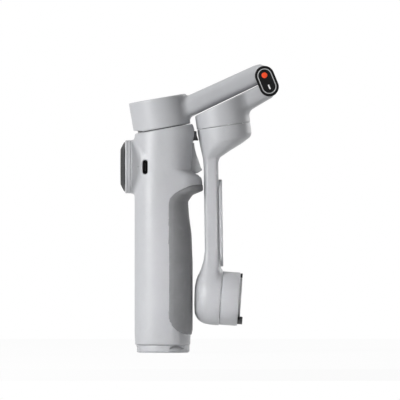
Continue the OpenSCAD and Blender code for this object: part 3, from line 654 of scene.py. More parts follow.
class FinishBuilder(TreeBuilder):
    """Builds the node tree of one finish."""

    def __init__(self, finish: Finish) -> None:
        """Starts an empty material for the finish."""
        self.finish = finish
        self.material = bpy.data.materials.new(finish.name)
        self.material.use_nodes = True
        super().__init__(self.material.node_tree)
        self.tree.nodes.clear()

    def noise(self, size: float, detail: float = 2.0, stretch: Sequence[float] = (1, 1, 1)) -> Socket:
        """Noise whose blots are about a size in millimetres, read on object coordinates."""
        spot = self.out(self.add("ShaderNodeTexCoord"), "Object")
        scaled = self.add("ShaderNodeMapping", None, {"Vector": spot, "Scale": tuple(stretch)})
        return self.out(self.add("ShaderNodeTexNoise", None, {
            "Vector": self.out(scaled), "Scale": 1000 / size, "Detail": detail, "Roughness": 0.55}), "Fac")

    def blended(self, share: Any, one: Any, two: Any) -> Socket:
        """A colour between two, by a share."""
        ends = {key: value if isinstance(value, Socket) else (*value, 1.0)
                for key, value in ((6, one), (7, two))}
        return self.out(self.add("ShaderNodeMix", {"data_type": "RGBA"}, {0: share, **ends}), 2)

    def build(self) -> bpy.types.Material:
        """Lays the nodes and returns the material."""
        f = self.finish
        broad = self.noise(14.0, 3.0)
        fine = self.noise(f.grain_size, 2.0)
        rim = self.out(self.add("ShaderNodeAttribute", {"attribute_name": "rim"}), "Fac")
        rubbed = rim * self.noise(2.2, 4.0).step(0.45, 0.7)
        darker = tuple(c * (1 - f.mottle) for c in f.colour)
        lighter = tuple(min(1.0, c * (1 + f.mottle)) for c in f.colour)
        colour = self.blended(broad.step(0.25, 0.75), darker, lighter)
        rough = f.roughness + (broad - 0.5) * 0.08
        relief = fine
        if f.grain is Grain.SPARK:
            relief = fine + self.noise(f.grain_size * 3, 1.0) * 0.4
            rough = rough + (fine - 0.5) * 0.12
        elif f.grain is Grain.RUBBER:
            dust = self.noise(5.0, 5.0).step(0.5, 0.75)
            colour = self.blended(dust * 0.25, colour, f.worn)
            rough = rough + (fine - 0.5) * 0.1
        elif f.grain is Grain.GLOSS:
            wisps = self.noise(7.0, 6.0, (1.0, 1.0, 0.3)).step(0.52, 0.8)
            rough = rough + wisps * 0.12
        elif f.grain is Grain.BRUSHED:
            lines = self.noise(f.grain_size, 3.0, (1.0, 1.0, 0.04))
            rough = rough + (lines - 0.5) * 0.25
            relief = lines
        elif f.grain is Grain.WOUND:
            spot = self.add("ShaderNodeSeparateXYZ", None, {
                "Vector": self.out(self.add("ShaderNodeTexCoord"), "Object")})
            relief = (self.out(spot, 2) * (2000 * math.pi / f.grain_size)).wave()
            # The wire's colour follows its turns: painted shade darkens the grooves between them and painted
            # highlight lightens their crowns, on top of the bump.
            colour = self.blended(relief.step(-1.0, 0.4), darker, lighter)
        elif f.grain is Grain.BOARD:
            tracks = self.noise(1.6, 0.0, (1.0, 3.0, 1.0)).step(0.49, 0.53)
            colour = self.blended(tracks * 0.35, colour, f.worn)
        colour = self.blended(rubbed * 0.35, colour, f.worn)
        bump = self.add("ShaderNodeBump", None, {
            "Height": relief, "Distance": f.depth * MM, "Strength": 0.6})
        shader = self.add("ShaderNodeBsdfPrincipled", None, {
            "Base Color": colour, "Roughness": rough, "Metallic": f.metallic,
            "Coat Weight": f.coat, "Coat Roughness": 0.12, "Specular IOR Level": f.shine,
            "Normal": self.out(bump)})
        self.add("ShaderNodeOutputMaterial", None, {"Surface": self.out(shader)})
        return self.material


LIGHT_GREY = Finish("satin_light_grey", (0.470, 0.477, 0.495), (0.58, 0.585, 0.60), 0.40, Grain.SPARK,
                    grain_size=0.30, depth=0.010, mottle=0.015)
PAD_GREY = Finish("grip_rubber_grey", (0.205, 0.207, 0.214), (0.29, 0.292, 0.30), 0.60, Grain.RUBBER,
                  grain_size=0.42, depth=0.030)
NEAR_BLACK = Finish("soft_dark_grey", (0.050, 0.051, 0.055), (0.09, 0.09, 0.095), 0.60, Grain.RUBBER,
                    grain_size=0.35, depth=0.02)
TRIGGER_GREY = Finish("satin_trigger_grey", (0.42, 0.425, 0.436), (0.46, 0.46, 0.47), 0.42, Grain.SPARK,
                      grain_size=0.30, depth=0.012)
MARK_GREY = Finish("print_grey", (0.27, 0.275, 0.285), (0.33, 0.33, 0.34), 0.45, Grain.SPARK,
                   grain_size=0.3, depth=0.004)
BUTTON_GREY = Finish("satin_button_grey", (0.19, 0.195, 0.205), (0.30, 0.30, 0.31), 0.42, Grain.SPARK,
                     grain_size=0.28, depth=0.010)
DIAL_DARK = Finish("satin_dial_dark", (0.026, 0.027, 0.028), (0.07, 0.07, 0.075), 0.46, Grain.SPARK,
                   grain_size=0.25, depth=0.012, shine=0.28)
GLOSS_BLACK = Finish("polished_black", (0.003, 0.003, 0.0035), (0.02, 0.02, 0.022), 0.30, Grain.GLOSS,
                     grain_size=1.2, depth=0.002, shine=0.12)
FRAME_GREY = Finish("moulded_frame_grey", (0.30, 0.31, 0.325), (0.42, 0.42, 0.43), 0.5, Grain.SPARK)
BOARD_GREEN = Finish("board_green", (0.02, 0.13, 0.055), (0.05, 0.26, 0.11), 0.32, Grain.BOARD, coat=0.3,
                     grain_size=1.0, depth=0.004)
TURNED_STEEL = Finish("turned_steel", (0.56, 0.57, 0.58), (0.75, 0.75, 0.76), 0.27, Grain.BRUSHED,
                      metallic=1.0, grain_size=0.22, depth=0.004)
MOUNT_STEEL = Finish("dull_mount_steel", (0.22, 0.222, 0.226), (0.45, 0.45, 0.45), 0.38, Grain.BRUSHED,
                     metallic=1.0, grain_size=0.25, depth=0.003)
ROD_METAL = Finish("anodised_rod", (0.115, 0.118, 0.124), (0.30, 0.30, 0.31), 0.34, Grain.BRUSHED,
                   metallic=1.0, grain_size=0.25, depth=0.003)
COPPER = Finish("bare_copper", (0.62, 0.30, 0.14), (0.85, 0.52, 0.32), 0.30, Grain.WOUND, metallic=1.0,
                grain_size=0.45, depth=0.04, mottle=0.18)
MAGNET = Finish("nickel_plate", (0.60, 0.60, 0.60), (0.78, 0.78, 0.78), 0.18, Grain.BRUSHED, metallic=1.0,
                grain_size=0.5, depth=0.002)
CELL_WRAP = Finish("cell_wrap", (0.03, 0.15, 0.10), (0.10, 0.30, 0.22), 0.28, Grain.GLOSS, grain_size=2.0,
                   depth=0.01)
RING_GREY = Finish("inlay_ring_grey", (0.40, 0.405, 0.41), (0.60, 0.60, 0.60), 0.34, Grain.BRUSHED,
                   metallic=0.6, grain_size=0.2, depth=0.002)
DOT_ORANGE = Finish("inlay_orange", (0.95, 0.075, 0.012), (0.97, 0.20, 0.09), 0.30, Grain.GLOSS, coat=0.1,
                    grain_size=0.8, depth=0.002, mottle=0.03, shine=0.3)
BAR_WHITE = Finish("inlay_white", (0.86, 0.86, 0.86), (0.95, 0.95, 0.95), 0.30, Grain.GLOSS, coat=0.3,
                   grain_size=0.8, depth=0.002, mottle=0.02)

SLOT_FINISH: Mapping[str, Finish] = {
    "body_plastic": LIGHT_GREY, "grip_rubber": PAD_GREY, "grey_button": BUTTON_GREY,
    "black_plastic": GLOSS_BLACK, "frame_plastic": FRAME_GREY, "circuit_board": BOARD_GREEN,
    "steel": TURNED_STEEL, "rod_metal": ROD_METAL, "copper_alloy": COPPER, "magnet": MAGNET,
    "cell_wrap": CELL_WRAP, "cap_ring_grey": RING_GREY, "dot_orange": DOT_ORANGE, "bar_white": BAR_WHITE,
}


def place(piece: Piece, body: str, slot: str, finish: Finish, *nodes: str) -> Piece:
    """Gives a piece its finish, its body and the solids that it stands for.

    Args:
        piece: the piece.
        body: the body that it rides on.
        slot: the record's material slot; not used.
        finish: its surface.
        nodes: the frame's solids that it replaces.

    Returns:
        The same piece.
    """
    piece.data.materials.clear()
    piece.data.materials.append(finish.material())
    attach(piece, body)
    if nodes:
        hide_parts(*nodes)
    LOG.info("%s rides on %s, %d faces", piece.name, body, len(piece.data.polygons))
    return piece


def place_eased(node: str, width: float, body: str, slot: str, finish: Finish) -> Piece:
    """Puts a solid's rounded copy in its place."""
    return place(eased(node, width), body, slot, finish, node)


@dataclass
class Handle:
    """The hand grip: shell, pad, finger guard, trigger, bumper, port and power button."""

    height: float = 128.9
    front: float = 16.3
    rear: float = 15.9
    depth: float = 17.4
    foot: float = 4.62
    squareness: float = 0.86
    lean: float = 9.9
    top_x: float = -0.4
    split: float = 0.4
    cavity_r: float = 14.5
    cavity_top: float = 118.05
    neck_hole_r: float = 11.9
    pad_rear_t: float = 1.2
    pad_side_t: float = 0.72
    pad_front: float = 3.15
    pad_corner: Spot = (12.48, 11.63)
    pad_low: float = 10.3
    pad_border: float = 2.9
    border_share: float = 0.5
    pad_high: float = 93.8
    reach: float = 17.1
    guard_z: float = 96.0
    guard_waist: float = 13.2
    guard_swell: float = 9.8
    guard_half: float = 15.0
    guard_reach: float = 17.4
    pivot: Spot = (15.2, 118.6)
    trigger_len: float = 15.2
    trigger_half: float = 5.0
    trigger_reach: float = 18.7
    dial_z: float = 106.8
    dial_hole_r: float = 10.6
    port: Spot = (-10.15, 106.6)
    port_r: float = 1.4
    port_half: float = 2.9
    port_wall: float = 0.35
    port_top: float = 15.2
    mouth_r: float = 1.34
    mouth_half: float = 2.7
    power: Spot = (-4.0, 106.8)
    power_r: float = 3.2
    power_face_y: float = 17.17
    step: float = 0.58
    boss_blend: float = 3.0
    boss: Outline = ((0, 7), (13.1, 7), (13.1, 12.6), (15.3, 18.1), (15.3, 18.35), (0, 18.35))
    trigger_slot: tuple[float, float, float] = (3.6, 2.2, 2.9)
    bumper_x: float = 13.5
    bumper_z: Spot = (121.9, 127.3)
    bumper_half: float = 5.0
    bumper_reach: float = 18.85
    bumper_waist: float = 0.5
    bumper_mid: Spot = (125.0, 2.8)
    mark: Spot = (-14.3, 106.7)
    outline: Rows = (
        (0.037, 0.98, 0.99, 0.955), (0.080, 1.00, 1.00, 0.98), (0.200, 1.00, 1.00, 1.00),
        (0.400, 1.00, 1.00, 1.00), (0.530, 1.00, 0.96, 1.00), (0.610, 1.00, 0.87, 0.98),
        (0.670, 1.00, 0.83, 0.97), (0.730, 1.00, 0.93, 0.96), (0.820, 1.00, 1.06, 0.955),
        (0.905, 1.00, 1.09, 0.955), (0.940, 1.00, 1.115, 0.95), (0.965, 1.00, 1.165, 0.95),
        (0.985, 0.99, 1.165, 0.94), (1.060, 0.92, 0.97, 0.93))
    guard_outline: Outline = (
        (-0.95, -0.1), (-0.80, 0.12), (-0.55, 0.38), (-0.34, 0.90), (-0.25, 1.00),
        (0.27, 1.00), (0.42, 0.93), (0.61, 0.77), (0.76, 0.50), (0.97, -0.1))
    trigger_outline: Outline = (
        (-0.13, -0.13), (0.18, -0.13), (0.20, 0.06), (0.27, 0.33), (0.345, 0.53), (0.425, 0.79),
        (0.49, 0.90), (0.31, 1.02), (-0.04, 1.02), (-0.13, 0.26))
    pad_top: Outline = (
        (0.184, -0.50), (0.235, -0.304), (0.376, -0.152), (0.528, -0.058), (0.684, 0.018),
        (0.836, 0.088), (0.982, 0.135), (1.135, 0.158), (1.281, 0.164), (2.0, 0.19))

    def pan_axes(self) -> Axes:
        """Axes of the pan motor, at the top of the handle."""
        return Axes.leaning(self.top_x, self.height, -self.lean)

    def dial_axes(self) -> Axes:
        """Axes of the dial, whose z points to the front, along -X."""
        return Axes((0.0, 0.0, self.dial_z), (0.0, 0.0, 1.0), (0.0, 1.0, 0.0), (-1.0, 0.0, 0.0))

    def port_axes(self) -> Axes:
        """Axes of the port: z points out of it, along -Y."""
        return SIDE.at(self.port[0], 0.0, self.port[1])

    def power_axes(self) -> Axes:
        """Axes of the power button: z points out of it, along +Y."""
        return Axes((self.power[0], 0.0, self.power[1]), (-1.0, 0.0, 0.0), (0.0, 0.0, 1.0), (0.0, 1.0, 0.0))

    def skin(self) -> Solid:
        """The handle's outer form with the dial's boss, open at both ends."""
        body = lofted(UPRIGHT, [
            Level(z * self.height, -self.front * a, self.rear * b, self.depth * c, self.squareness)
            for z, a, b, c in self.outline])
        return body.joined(revolved(self.dial_axes(), self.boss), self.boss_blend)

    def guard(self) -> Solid:
        """The finger guard, trimmed round the pan axis."""
        flange = lofted(UPRIGHT, [
            Level(self.guard_z + self.guard_swell * z, -self.front / 4,
                  self.guard_waist + self.guard_swell * s, self.guard_half, self.squareness)
            for z, s in self.guard_outline])
        return flange.grown(0.25).kept(drum(self.pan_axes(), self.guard_reach, -self.height, 0.0), 0.9)

    def pad_zone(self) -> Solid:
        """The space that the pad fills, seen from the side."""
        across, up = self.pad_corner
        far = 4 * self.rear
        low = [(self.pad_front + across * (1 - math.sin(a)), self.pad_low + up * (1 - math.cos(a)))
               for a in np.radians(range(0, 91, 10))]
        high = [(self.reach * a, self.pad_high + self.reach * b) for a, b in self.pad_top]
        corners = [(far, self.pad_low), *low, *high, (far, high[-1][1])]
        return prism(SIDE, corners, -2 * self.depth, 2 * self.depth)

    def shell(self) -> None:
        """The light grey shell with every opening in it."""
        pan, dial, port, power = self.pan_axes(), self.dial_axes(), self.port_axes(), self.power_axes()
        form = self.skin().joined(self.guard().cut(self.pad_zone(), 0.4), 2.4)
        form = form.kept(below(pan, -self.split), 0.9).kept(above(UPRIGHT, self.foot), 0.3)
        (x, z), (front, under, over) = self.pivot, self.trigger_slot
        side, half, (low, high) = self.trigger_half + 0.12, self.bumper_half, self.bumper_z
        bottom = self.port_top - 7.5
        form = form.opened(
            (drum(UPRIGHT, self.cavity_r, -9.0, self.cavity_top), 0.0),
            (drum(UPRIGHT, self.neck_hole_r, 0.0, 2 * self.height), 0.5),
            (drum(dial, self.dial_hole_r, 0.0, PAST), 0.3),
            (block(UPRIGHT, (x - front, -side, z - self.trigger_len - under),
                   (60.0, side, z + over), 0.8), 0.3),
            (slot_shape(port, self.port_r + self.port_wall + GAP, self.port_half,
                        bottom, bottom + 4.15), 0.0),
            (slot_shape(port, self.mouth_r + GAP, self.mouth_half, bottom, PAST), 0.0),
            (drum(power, self.power_r + 0.14, 0.0, PAST), 0.4),
            (drum(power, self.power_r + 1.0, 0.0, self.power_face_y - 3.1), 0.0),
            (block(UPRIGHT, (self.bumper_x, -half, low), (60.0, half, high)), 0.0))
        piece = moulded("handle_shell_skin", form, (-20.5, -18.6, 3.5), (25.0, 18.6, 133.5), self.step)
        place(piece, "handle", "body_plastic", LIGHT_GREY, "handle_shell")

    def pad(self) -> None:
        """The soft pad round the rear, which runs out over the guard's underside."""
        skin, zone = self.skin(), self.pad_zone()
        swell = self.pad_rear_t - self.pad_side_t

        def cover(p: Points) -> np.ndarray:
            inward = np.clip(-zone.distance(p) / self.pad_border, 0, 1)
            thick = self.pad_side_t + swell * np.clip(p[:, 0] / self.rear, 0, 1)
            return skin.distance(p) - thick * (self.border_share + (1 - self.border_share) * inward)

        form = Solid(cover).joined(self.guard(), 3.0).kept(zone, 0.3).cut(skin)
        piece = moulded("grip_pad_skin", form, (3.0, -19.2, 9.0), (24.5, 19.2, 101.0), 0.5)
        place(piece, "handle", "grip_rubber", PAD_GREY, "grip_pad")

    def trigger(self) -> None:
        """The finger trigger, straight in profile and crowned across."""
        x, z = self.pivot
        corners = [(x + self.trigger_len * a, z - self.trigger_len * b) for a, b in self.trigger_outline]
        form = prism(SIDE, corners, -self.trigger_half, self.trigger_half, 0.55)
        form = form.kept(drum(self.pan_axes(), self.trigger_reach, -self.height, self.height), 0.3)
        pin = SIDE.at(x, 0.0, z)
        form = form.cut(bore(pin, 1.05)).cut(drum(pin, 2.5, -1.6, 1.6))
        piece = moulded("trigger_skin", form, (12.0, -7.2, 101.5), (24.5, 7.2, 122.5), 0.34)
        place(piece, "trigger_lever", "grey_button", TRIGGER_GREY, "trigger")

    def bumper(self) -> None:
        """The soft stop that the tilt housing folds against, waisted half way up."""
        pan, (low, high) = self.pan_axes(), self.bumper_z
        corners = [(self.bumper_x, low), (PAST, low), (PAST, high), (self.bumper_x, high)]
        form = prism(SIDE, corners, -self.bumper_half, self.bumper_half, 0.3)
        middle, swell = self.bumper_mid
        waist = Solid(lambda p: np.hypot(pan.local(p)[:, 0], pan.local(p)[:, 1]) - self.bumper_reach
                      - self.bumper_waist * np.clip(np.abs(p[:, 2] - middle) / swell, 0, 1) ** 1.4)
        form = form.kept(waist, 0.4)
        piece = moulded("rear_bumper_skin", form, (12.5, -5.8, 121.0), (20.5, 5.8, 128.2), 0.3)
        place(piece, "handle", "grip_rubber", NEAR_BLACK, "rear_bumper")

    def charging_port(self) -> None:
        """The port's shell with its rolled lip, and the tongue in its mouth."""
        axes, mouth = self.port_axes(), self.port_top
        r, half = self.mouth_r, self.mouth_half
        neck = slot_shape(axes, r, half, mouth - 6.0, PAST).kept(self.skin().grown(-0.1))
        form = slot_shape(axes, self.port_r + self.port_wall, self.port_half, mouth - 7.2, mouth - 3.4, 0.12)
        form = form.joined(neck).cut(slot_shape(axes, r - 0.28, half, mouth - 6.2, PAST), 0.1)
        x, z = self.port
        low, high = (x - 2.2, -mouth - 2.4, z - 5.2), (x + 2.2, -mouth + 7.7, z + 5.2)
        piece = moulded("charging_port_shell", form, low, high, 0.16)
        place(piece, "handle", "black_plastic", GLOSS_BLACK, "usb_port")
        tongue = block(axes, (-0.3, -2.3, mouth - 6.6), (0.3, 2.3, mouth - 3.3), 0.14)
        piece = moulded("charging_port_tongue", tongue, low, high, 0.14)
        place(piece, "handle", "black_plastic", DIAL_DARK)

    def power_button(self) -> None:
        """The round power button, dished for a fingertip."""
        r, y, dip, round_r = self.power_r, self.power_face_y, 0.28, 0.3
        dish = [(r - 0.35 - 2.4 * t, y - dip * math.sin(math.pi / 2 * t)) for t in (0.0, 0.2, 0.5, 0.8, 1.0)]
        rim = [(r - 0.02 - round_r * (1 - math.cos(a)), y - round_r + round_r * math.sin(a))
               for a in np.radians((0, 30, 60, 90))]
        flange = [(0.0, y - 4.2), (r + 0.7, y - 4.2), (r + 0.7, y - 3.4), (r - 0.02, y - 3.4)]
        piece = turned("power_button_cap", self.power_axes(), [*flange, *rim, *dish, (0.0, y - dip)])
        place(piece, "power_key", "grey_button", BUTTON_GREY, "power_button")

    def charge_mark(self) -> None:
        """A plain bolt sign beside the port, printed on the skin."""
        x0, z0 = self.mark
        bolt = [(-1.0, 0.25), (0.15, -0.55), (0.15, -0.05), (1.0, -0.25), (-0.15, 0.55), (-0.15, 0.05)]
        corners = [(x0 + a, z0 + b) for a, b in bolt]
        skin = self.skin()
        film = Solid(lambda p: np.abs(skin.distance(p)) - 0.05).kept(prism(SIDE, corners, 2.0, 30.0))
        low, high = (x0 - 1.2, -18.0, z0 - 1.4), (x0 + 1.2, -4.0, z0 + 1.4)
        place(moulded("charge_mark_print", film, low, high, 0.09), "handle", "grey_button", MARK_GREY)

    def build(self) -> None:
        """Builds every piece of the handle."""
        self.shell()
        self.pad()
        self.trigger()
        self.bumper()
        self.charging_port()
        self.power_button()
        self.charge_mark()


@dataclass
class Dial:
    """The control dial on the front of the handle, with its bezel and centre button."""

    axes: Axes
    bezel_r: float = 15.3
    hub_r: float = 10.0
    back: float = 18.4
    front: float = 21.7
    lift: float = 0.2
    base_r: float = 14.2
    face_r: float = 10.25
    rise: float = 2.5
    button_r: float = 6.4
    line: float = 20.24
    teeth: int = 72
    tooth_width: float = 0.32

    def bezel(self) -> None:
        """The fixed ring with a fine line round it."""
        r, line = self.bezel_r, self.line
        outline = [(self.hub_r + 0.05, self.back), (r - 0.25, self.back), (r, self.back + 0.25),
                   (r, line - 0.2), (r - 0.22, line - 0.08), (r - 0.22, line + 0.08), (r, line + 0.2),
                   (r, self.front - 0.5), (r - 0.15, self.front - 0.15), (r - 0.5, self.front),
                   (self.hub_r + 0.05, self.front)]
        piece = turned("dial_bezel_ring", self.axes, outline)
        place(piece, "handle", "body_plastic", LIGHT_GREY, "dial_bezel")

    def ring(self) -> None:
        """The turning ring: a dark cone with a toothed foot and a rounded lip."""
        low, high = self.front + self.lift, self.front + self.lift + self.rise
        hole, back = self.button_r + 0.1, self.back - 1.6
        outline = [(hole, back), (self.hub_r, back), (self.hub_r, low),
                   (self.base_r - 0.25, low), (self.base_r, low + 0.12), (self.base_r - 0.05, low + 0.45),
                   (self.face_r + 0.7, high - 0.55), (self.face_r + 0.2, high - 0.12),
                   (self.face_r - 0.4, high), (self.face_r - 1.6, high - 0.08),
                   (hole + 0.5, high - 0.42), (hole, high - 0.6)]
        piece = turned("control_dial_ring", self.axes, outline, 144)
        place(piece, "dial", "black_plastic", DIAL_DARK, "control_dial")
        self.grip_teeth(low, high)

    def grip_teeth(self, low: float, high: float) -> None:
        """Fine ribs set round the cone by Geometry Nodes."""
        rise, run = high - low - 0.9, self.base_r - self.face_r - 0.7
        tree = bpy.data.node_groups.new("ribs_round_a_cone", "GeometryNodeTree")
        face = tree.interface
        for label, value in (("Count", self.teeth), ("Radius", (self.base_r + self.face_r) / 2 * MM),
                             ("Length", (self.base_r - self.face_r - 0.8) * MM),
                             ("Width", self.tooth_width * MM), ("Slope", math.atan2(rise, run))):
            kind = "NodeSocketInt" if label == "Count" else "NodeSocketFloat"
            face.new_socket(label, in_out="INPUT", socket_type=kind).default_value = value
        cover = face.new_socket("Material", in_out="INPUT", socket_type="NodeSocketMaterial")
        face.new_socket("Geometry", in_out="OUTPUT", socket_type="NodeSocketGeometry")
        build = TreeBuilder(tree)
        add, out = build.add, build.out
        given = add("NodeGroupInput")
        wide = out(given, "Width")
        circle = add("GeometryNodeMeshCircle", None, {
            "Vertices": out(given, "Count"), "Radius": out(given, "Radius")})
        size = add("ShaderNodeCombineXYZ", None, {0: out(given, "Length"), 1: wide, 2: wide})
        rib = add("GeometryNodeMeshCube", None, {"Size": out(size)})
        tilt = add("ShaderNodeCombineXYZ", None, {1: out(given, "Slope")})
        lean = add("GeometryNodeTransform", None, {"Geometry": out(rib, "Mesh"), "Rotation": out(tilt)})
        turn = add("FunctionNodeAlignRotationToVector", {"axis": "X"}, {
            "Vector": out(add("GeometryNodeInputPosition"))})
        ribs = add("GeometryNodeInstanceOnPoints", None, {
            "Points": out(circle), "Instance": out(lean), "Rotation": out(turn)})
        real = add("GeometryNodeRealizeInstances", None, {0: out(ribs)})
        dressed = add("GeometryNodeSetMaterial", None, {
            "Geometry": out(real), "Material": out(given, "Material")})
        add("NodeGroupOutput", None, {0: out(dressed)})
        piece = piece_from("dial_grip_teeth", [(0, 0, 0)], [])
        maker = piece.modifiers.new("ribs", "NODES")
        maker.node_group = tree
        maker[cover.identifier] = DIAL_DARK.material()
        made_plain(piece)
        a = self.axes.moved(0.0, 0.0, (low + high) / 2)
        turned_to = Matrix((a.x, a.y, a.z)).transposed().to_4x4()
        piece.data.transform(Matrix.Translation(Vector(a.origin) * MM) @ turned_to)
        place(piece, "dial", "black_plastic", DIAL_DARK)

    def button(self) -> None:
        """The dished centre button and the plain light line on it."""
        top = self.front + self.lift + self.rise - 0.2
        r, flat = self.button_r, self.button_r - 0.4
        dish = [(flat - flat * t, top - 0.55 * math.sin(math.pi / 2 * t)) for t in np.linspace(0, 1, 8)]
        side = [(0.0, self.back - 1.2), (r - 0.02, self.back - 1.2), (r - 0.02, top - 0.3),
                (r - 0.15, top - 0.08)]
        piece = turned("dial_button_cap", self.axes, [*side, *dish])
        place(piece, "centre_button", "black_plastic", DIAL_DARK, "dial_button")
        bar = slot_shape(self.axes, 0.32, 1.3, top - 0.75, top - 0.5, 0.08)
        o = self.axes.world(np.array([[0.0, 0.0, top - 0.6]]))[0]
        piece = moulded("dial_button_line", bar, tuple(o - 2.0), tuple(o + 2.0), 0.1)
        place(piece, "centre_button", "cap_ring_grey", RING_GREY)

    def build(self) -> None:
        """Builds every piece of the dial."""
        self.bezel()
        self.ring()
        self.button()


@dataclass
class PanArm:
    """The pan housing and the upper tube of the hinge."""

    pan: Axes
    pin: Spot = (57.8, 160.5)
    rise: float = 24.4
    radius: float = 16.5
    tall: float = 17.4
    cup_r: float = 14.8
    cup_h: float = 15.8
    half: float = 8.5
    top: float = 6.3
    barrel_r: float = 4.35
    keep_out: float = 4.65
    pin_gap: float = 9.0
    link_lean: float = 22.5
    run: float = 50.05
    pin_r: float = 2.25
    shaft_r: float = 2.0
    boss: Spot = (4.5, 9.8)
    tube: Rows = (
        (-0.03, 1.02, 0.81, 0.93, 0.62), (0.01, 1.04, 0.94, 0.98, 0.62), (0.08, 1.07, 1.00, 1.00, 0.62),
        (0.44, 1.15, 1.00, 1.00, 0.62), (0.68, 1.21, 1.00, 1.03, 0.62), (0.88, 1.26, 1.00, 1.07, 0.66),
        (1.00, 1.30, 0.97, 1.05, 0.70))

    def arm_axes(self) -> Axes:
        """Axes at the upper pin: x runs out along the arm, z across it."""
        return Axes.leaning(self.pin[0], self.pin[1], -self.rise)

    def along(self) -> Axes:
        """Axes at the upper pin: z runs back to the housing, x across the arm."""
        arm = self.arm_axes()
        return Axes(arm.origin, arm.z, arm.y, tuple(-v for v in arm.x))

    def lower_pin(self) -> Axes:
        """Axes at the lower pin."""
        a = math.radians(self.link_lean - self.rise)
        return self.arm_axes().moved(self.pin_gap * math.sin(a), 0.0, -self.pin_gap * math.cos(a))

    @staticmethod
    def across(axes: Axes) -> Axes:
        """The same place, with z along +Y."""
        return Axes(axes.origin, axes.x, tuple(-v for v in axes.z), axes.y)

    def build(self) -> None:
        """Builds the arm as one moulded form."""
        along, arm = self.along(), self.arm_axes()
        tube = lofted(along, [Level(self.run * z, -self.barrel_r * a, self.top * b, self.half * c, p)
                              for z, a, b, c, p in self.tube])
        tube = tube.kept(above(along, -1.5), 1.8).kept(below(along, self.run))
        hub = drum(self.across(arm), self.barrel_r, -self.half, self.half, 0.5)
        form = drum(self.pan, self.radius, 0.0, self.tall, 0.6).joined(tube, 2.5).joined(hub, 1.0)
        boss_r, boss_low = self.boss
        cup = drum(self.pan, self.cup_r, -1.0, self.cup_h).cut(drum(self.pan, boss_r, boss_low, 30.0))
        form = form.opened(
            (cup, 0.2), (drum(self.pan, self.shaft_r, -1.0, self.cup_h), 0.0),
            (bore(self.across(arm), self.pin_r), 0.2),
            (bore(self.across(self.lower_pin()), self.keep_out), 0.3))
        piece = moulded("pan_arm_skin", form, (-20.6, -17.4, 127.0), (66.5, 17.4, 170.5), 0.52)
        place(piece, "pan_body", "body_plastic", LIGHT_GREY, "pan_arm")
        # The steel base plate gets the dark rod finish in place of its slot's steel, as painted shade, so
        # the pan seam's gap shows dark instead of the plate's glints.
        place_eased("pan_base_plate", 0.15, "rod_5", "steel", ROD_METAL)


def build_hinge() -> None:
    """Rounds the oval link's plates and caps and dresses its coloured inlays."""
    for node, width, slot in (
            ("link_plates", 0.2, "black_plastic"), ("cap_front", 0.28, "black_plastic"),
            ("cap_rear", 0.28, "black_plastic"), ("cap_ring", 0.05, "cap_ring_grey"),
            ("cap_dot", 0.08, "dot_orange"), ("cap_bar", 0.08, "bar_white")):
        place_eased(node, width, "hinge_link", slot, SLOT_FINISH[slot])


@dataclass
class FoldArm:
    """The lower tube of the hinge and the tilt motor's fixed housing."""

    upper: PanArm
    tilt: Axes
    radius: float = 15.5
    cup_r: float = 12.8
    cup_h: float = 6.8
    under: float = 5.9
    seam_slope: float = 1.5
    seam_gap: float = 0.6
    tube: Rows = (
        (-0.012, 0.85, 0.74, 0.93, 0.62), (0.028, 0.98, 0.74, 1.00, 0.62), (0.12, 1.05, 1.00, 1.00, 0.62),
        (0.32, 1.24, 1.00, 1.07, 0.66), (0.48, 1.41, 1.00, 1.24, 0.70))

    def build(self) -> None:
        """Builds the arm as one moulded form."""
        up = self.upper
        along, arm, low = up.along(), up.arm_axes(), up.lower_pin()
        a = math.radians(up.link_lean - up.rise)
        drop = -up.pin_gap * math.cos(a)
        tube = lofted(along, [Level(up.run * z, drop - self.under * l, drop + self.under * h, up.half * c, p)
                              for z, l, h, c, p in self.tube])
        tube = tube.kept(above(along, -0.6), 1.6).kept(below(along, up.run * self.tube[-1][0]))
        form = drum(self.tilt, self.radius, 0.0, 2 * self.radius).joined(tube, 3.0)
        seam = arm.moved(0.0, 0.0, -up.barrel_r - self.seam_gap)
        seam = Axes.leaning(seam.origin[0], seam.origin[2], -up.rise - self.seam_slope)
        form = form.kept(below(seam), 0.9)
        form = form.joined(drum(up.across(low), up.barrel_r, -up.half, up.half, 0.5), 0.6)
        form = form.kept(above(self.tilt), 0.25).opened(
            (drum(self.tilt, self.cup_r, -1.0, self.cup_h), 0.2),
            (bore(up.across(low), up.pin_r), 0.2), (bore(up.across(arm), up.keep_out), 0.3))
        piece = moulded("fold_arm_skin", form, (17.0, -16.4, 125.5), (68.0, 16.4, 158.5), 0.5)
        place(piece, "fold_body", "body_plastic", LIGHT_GREY, "fold_arm")


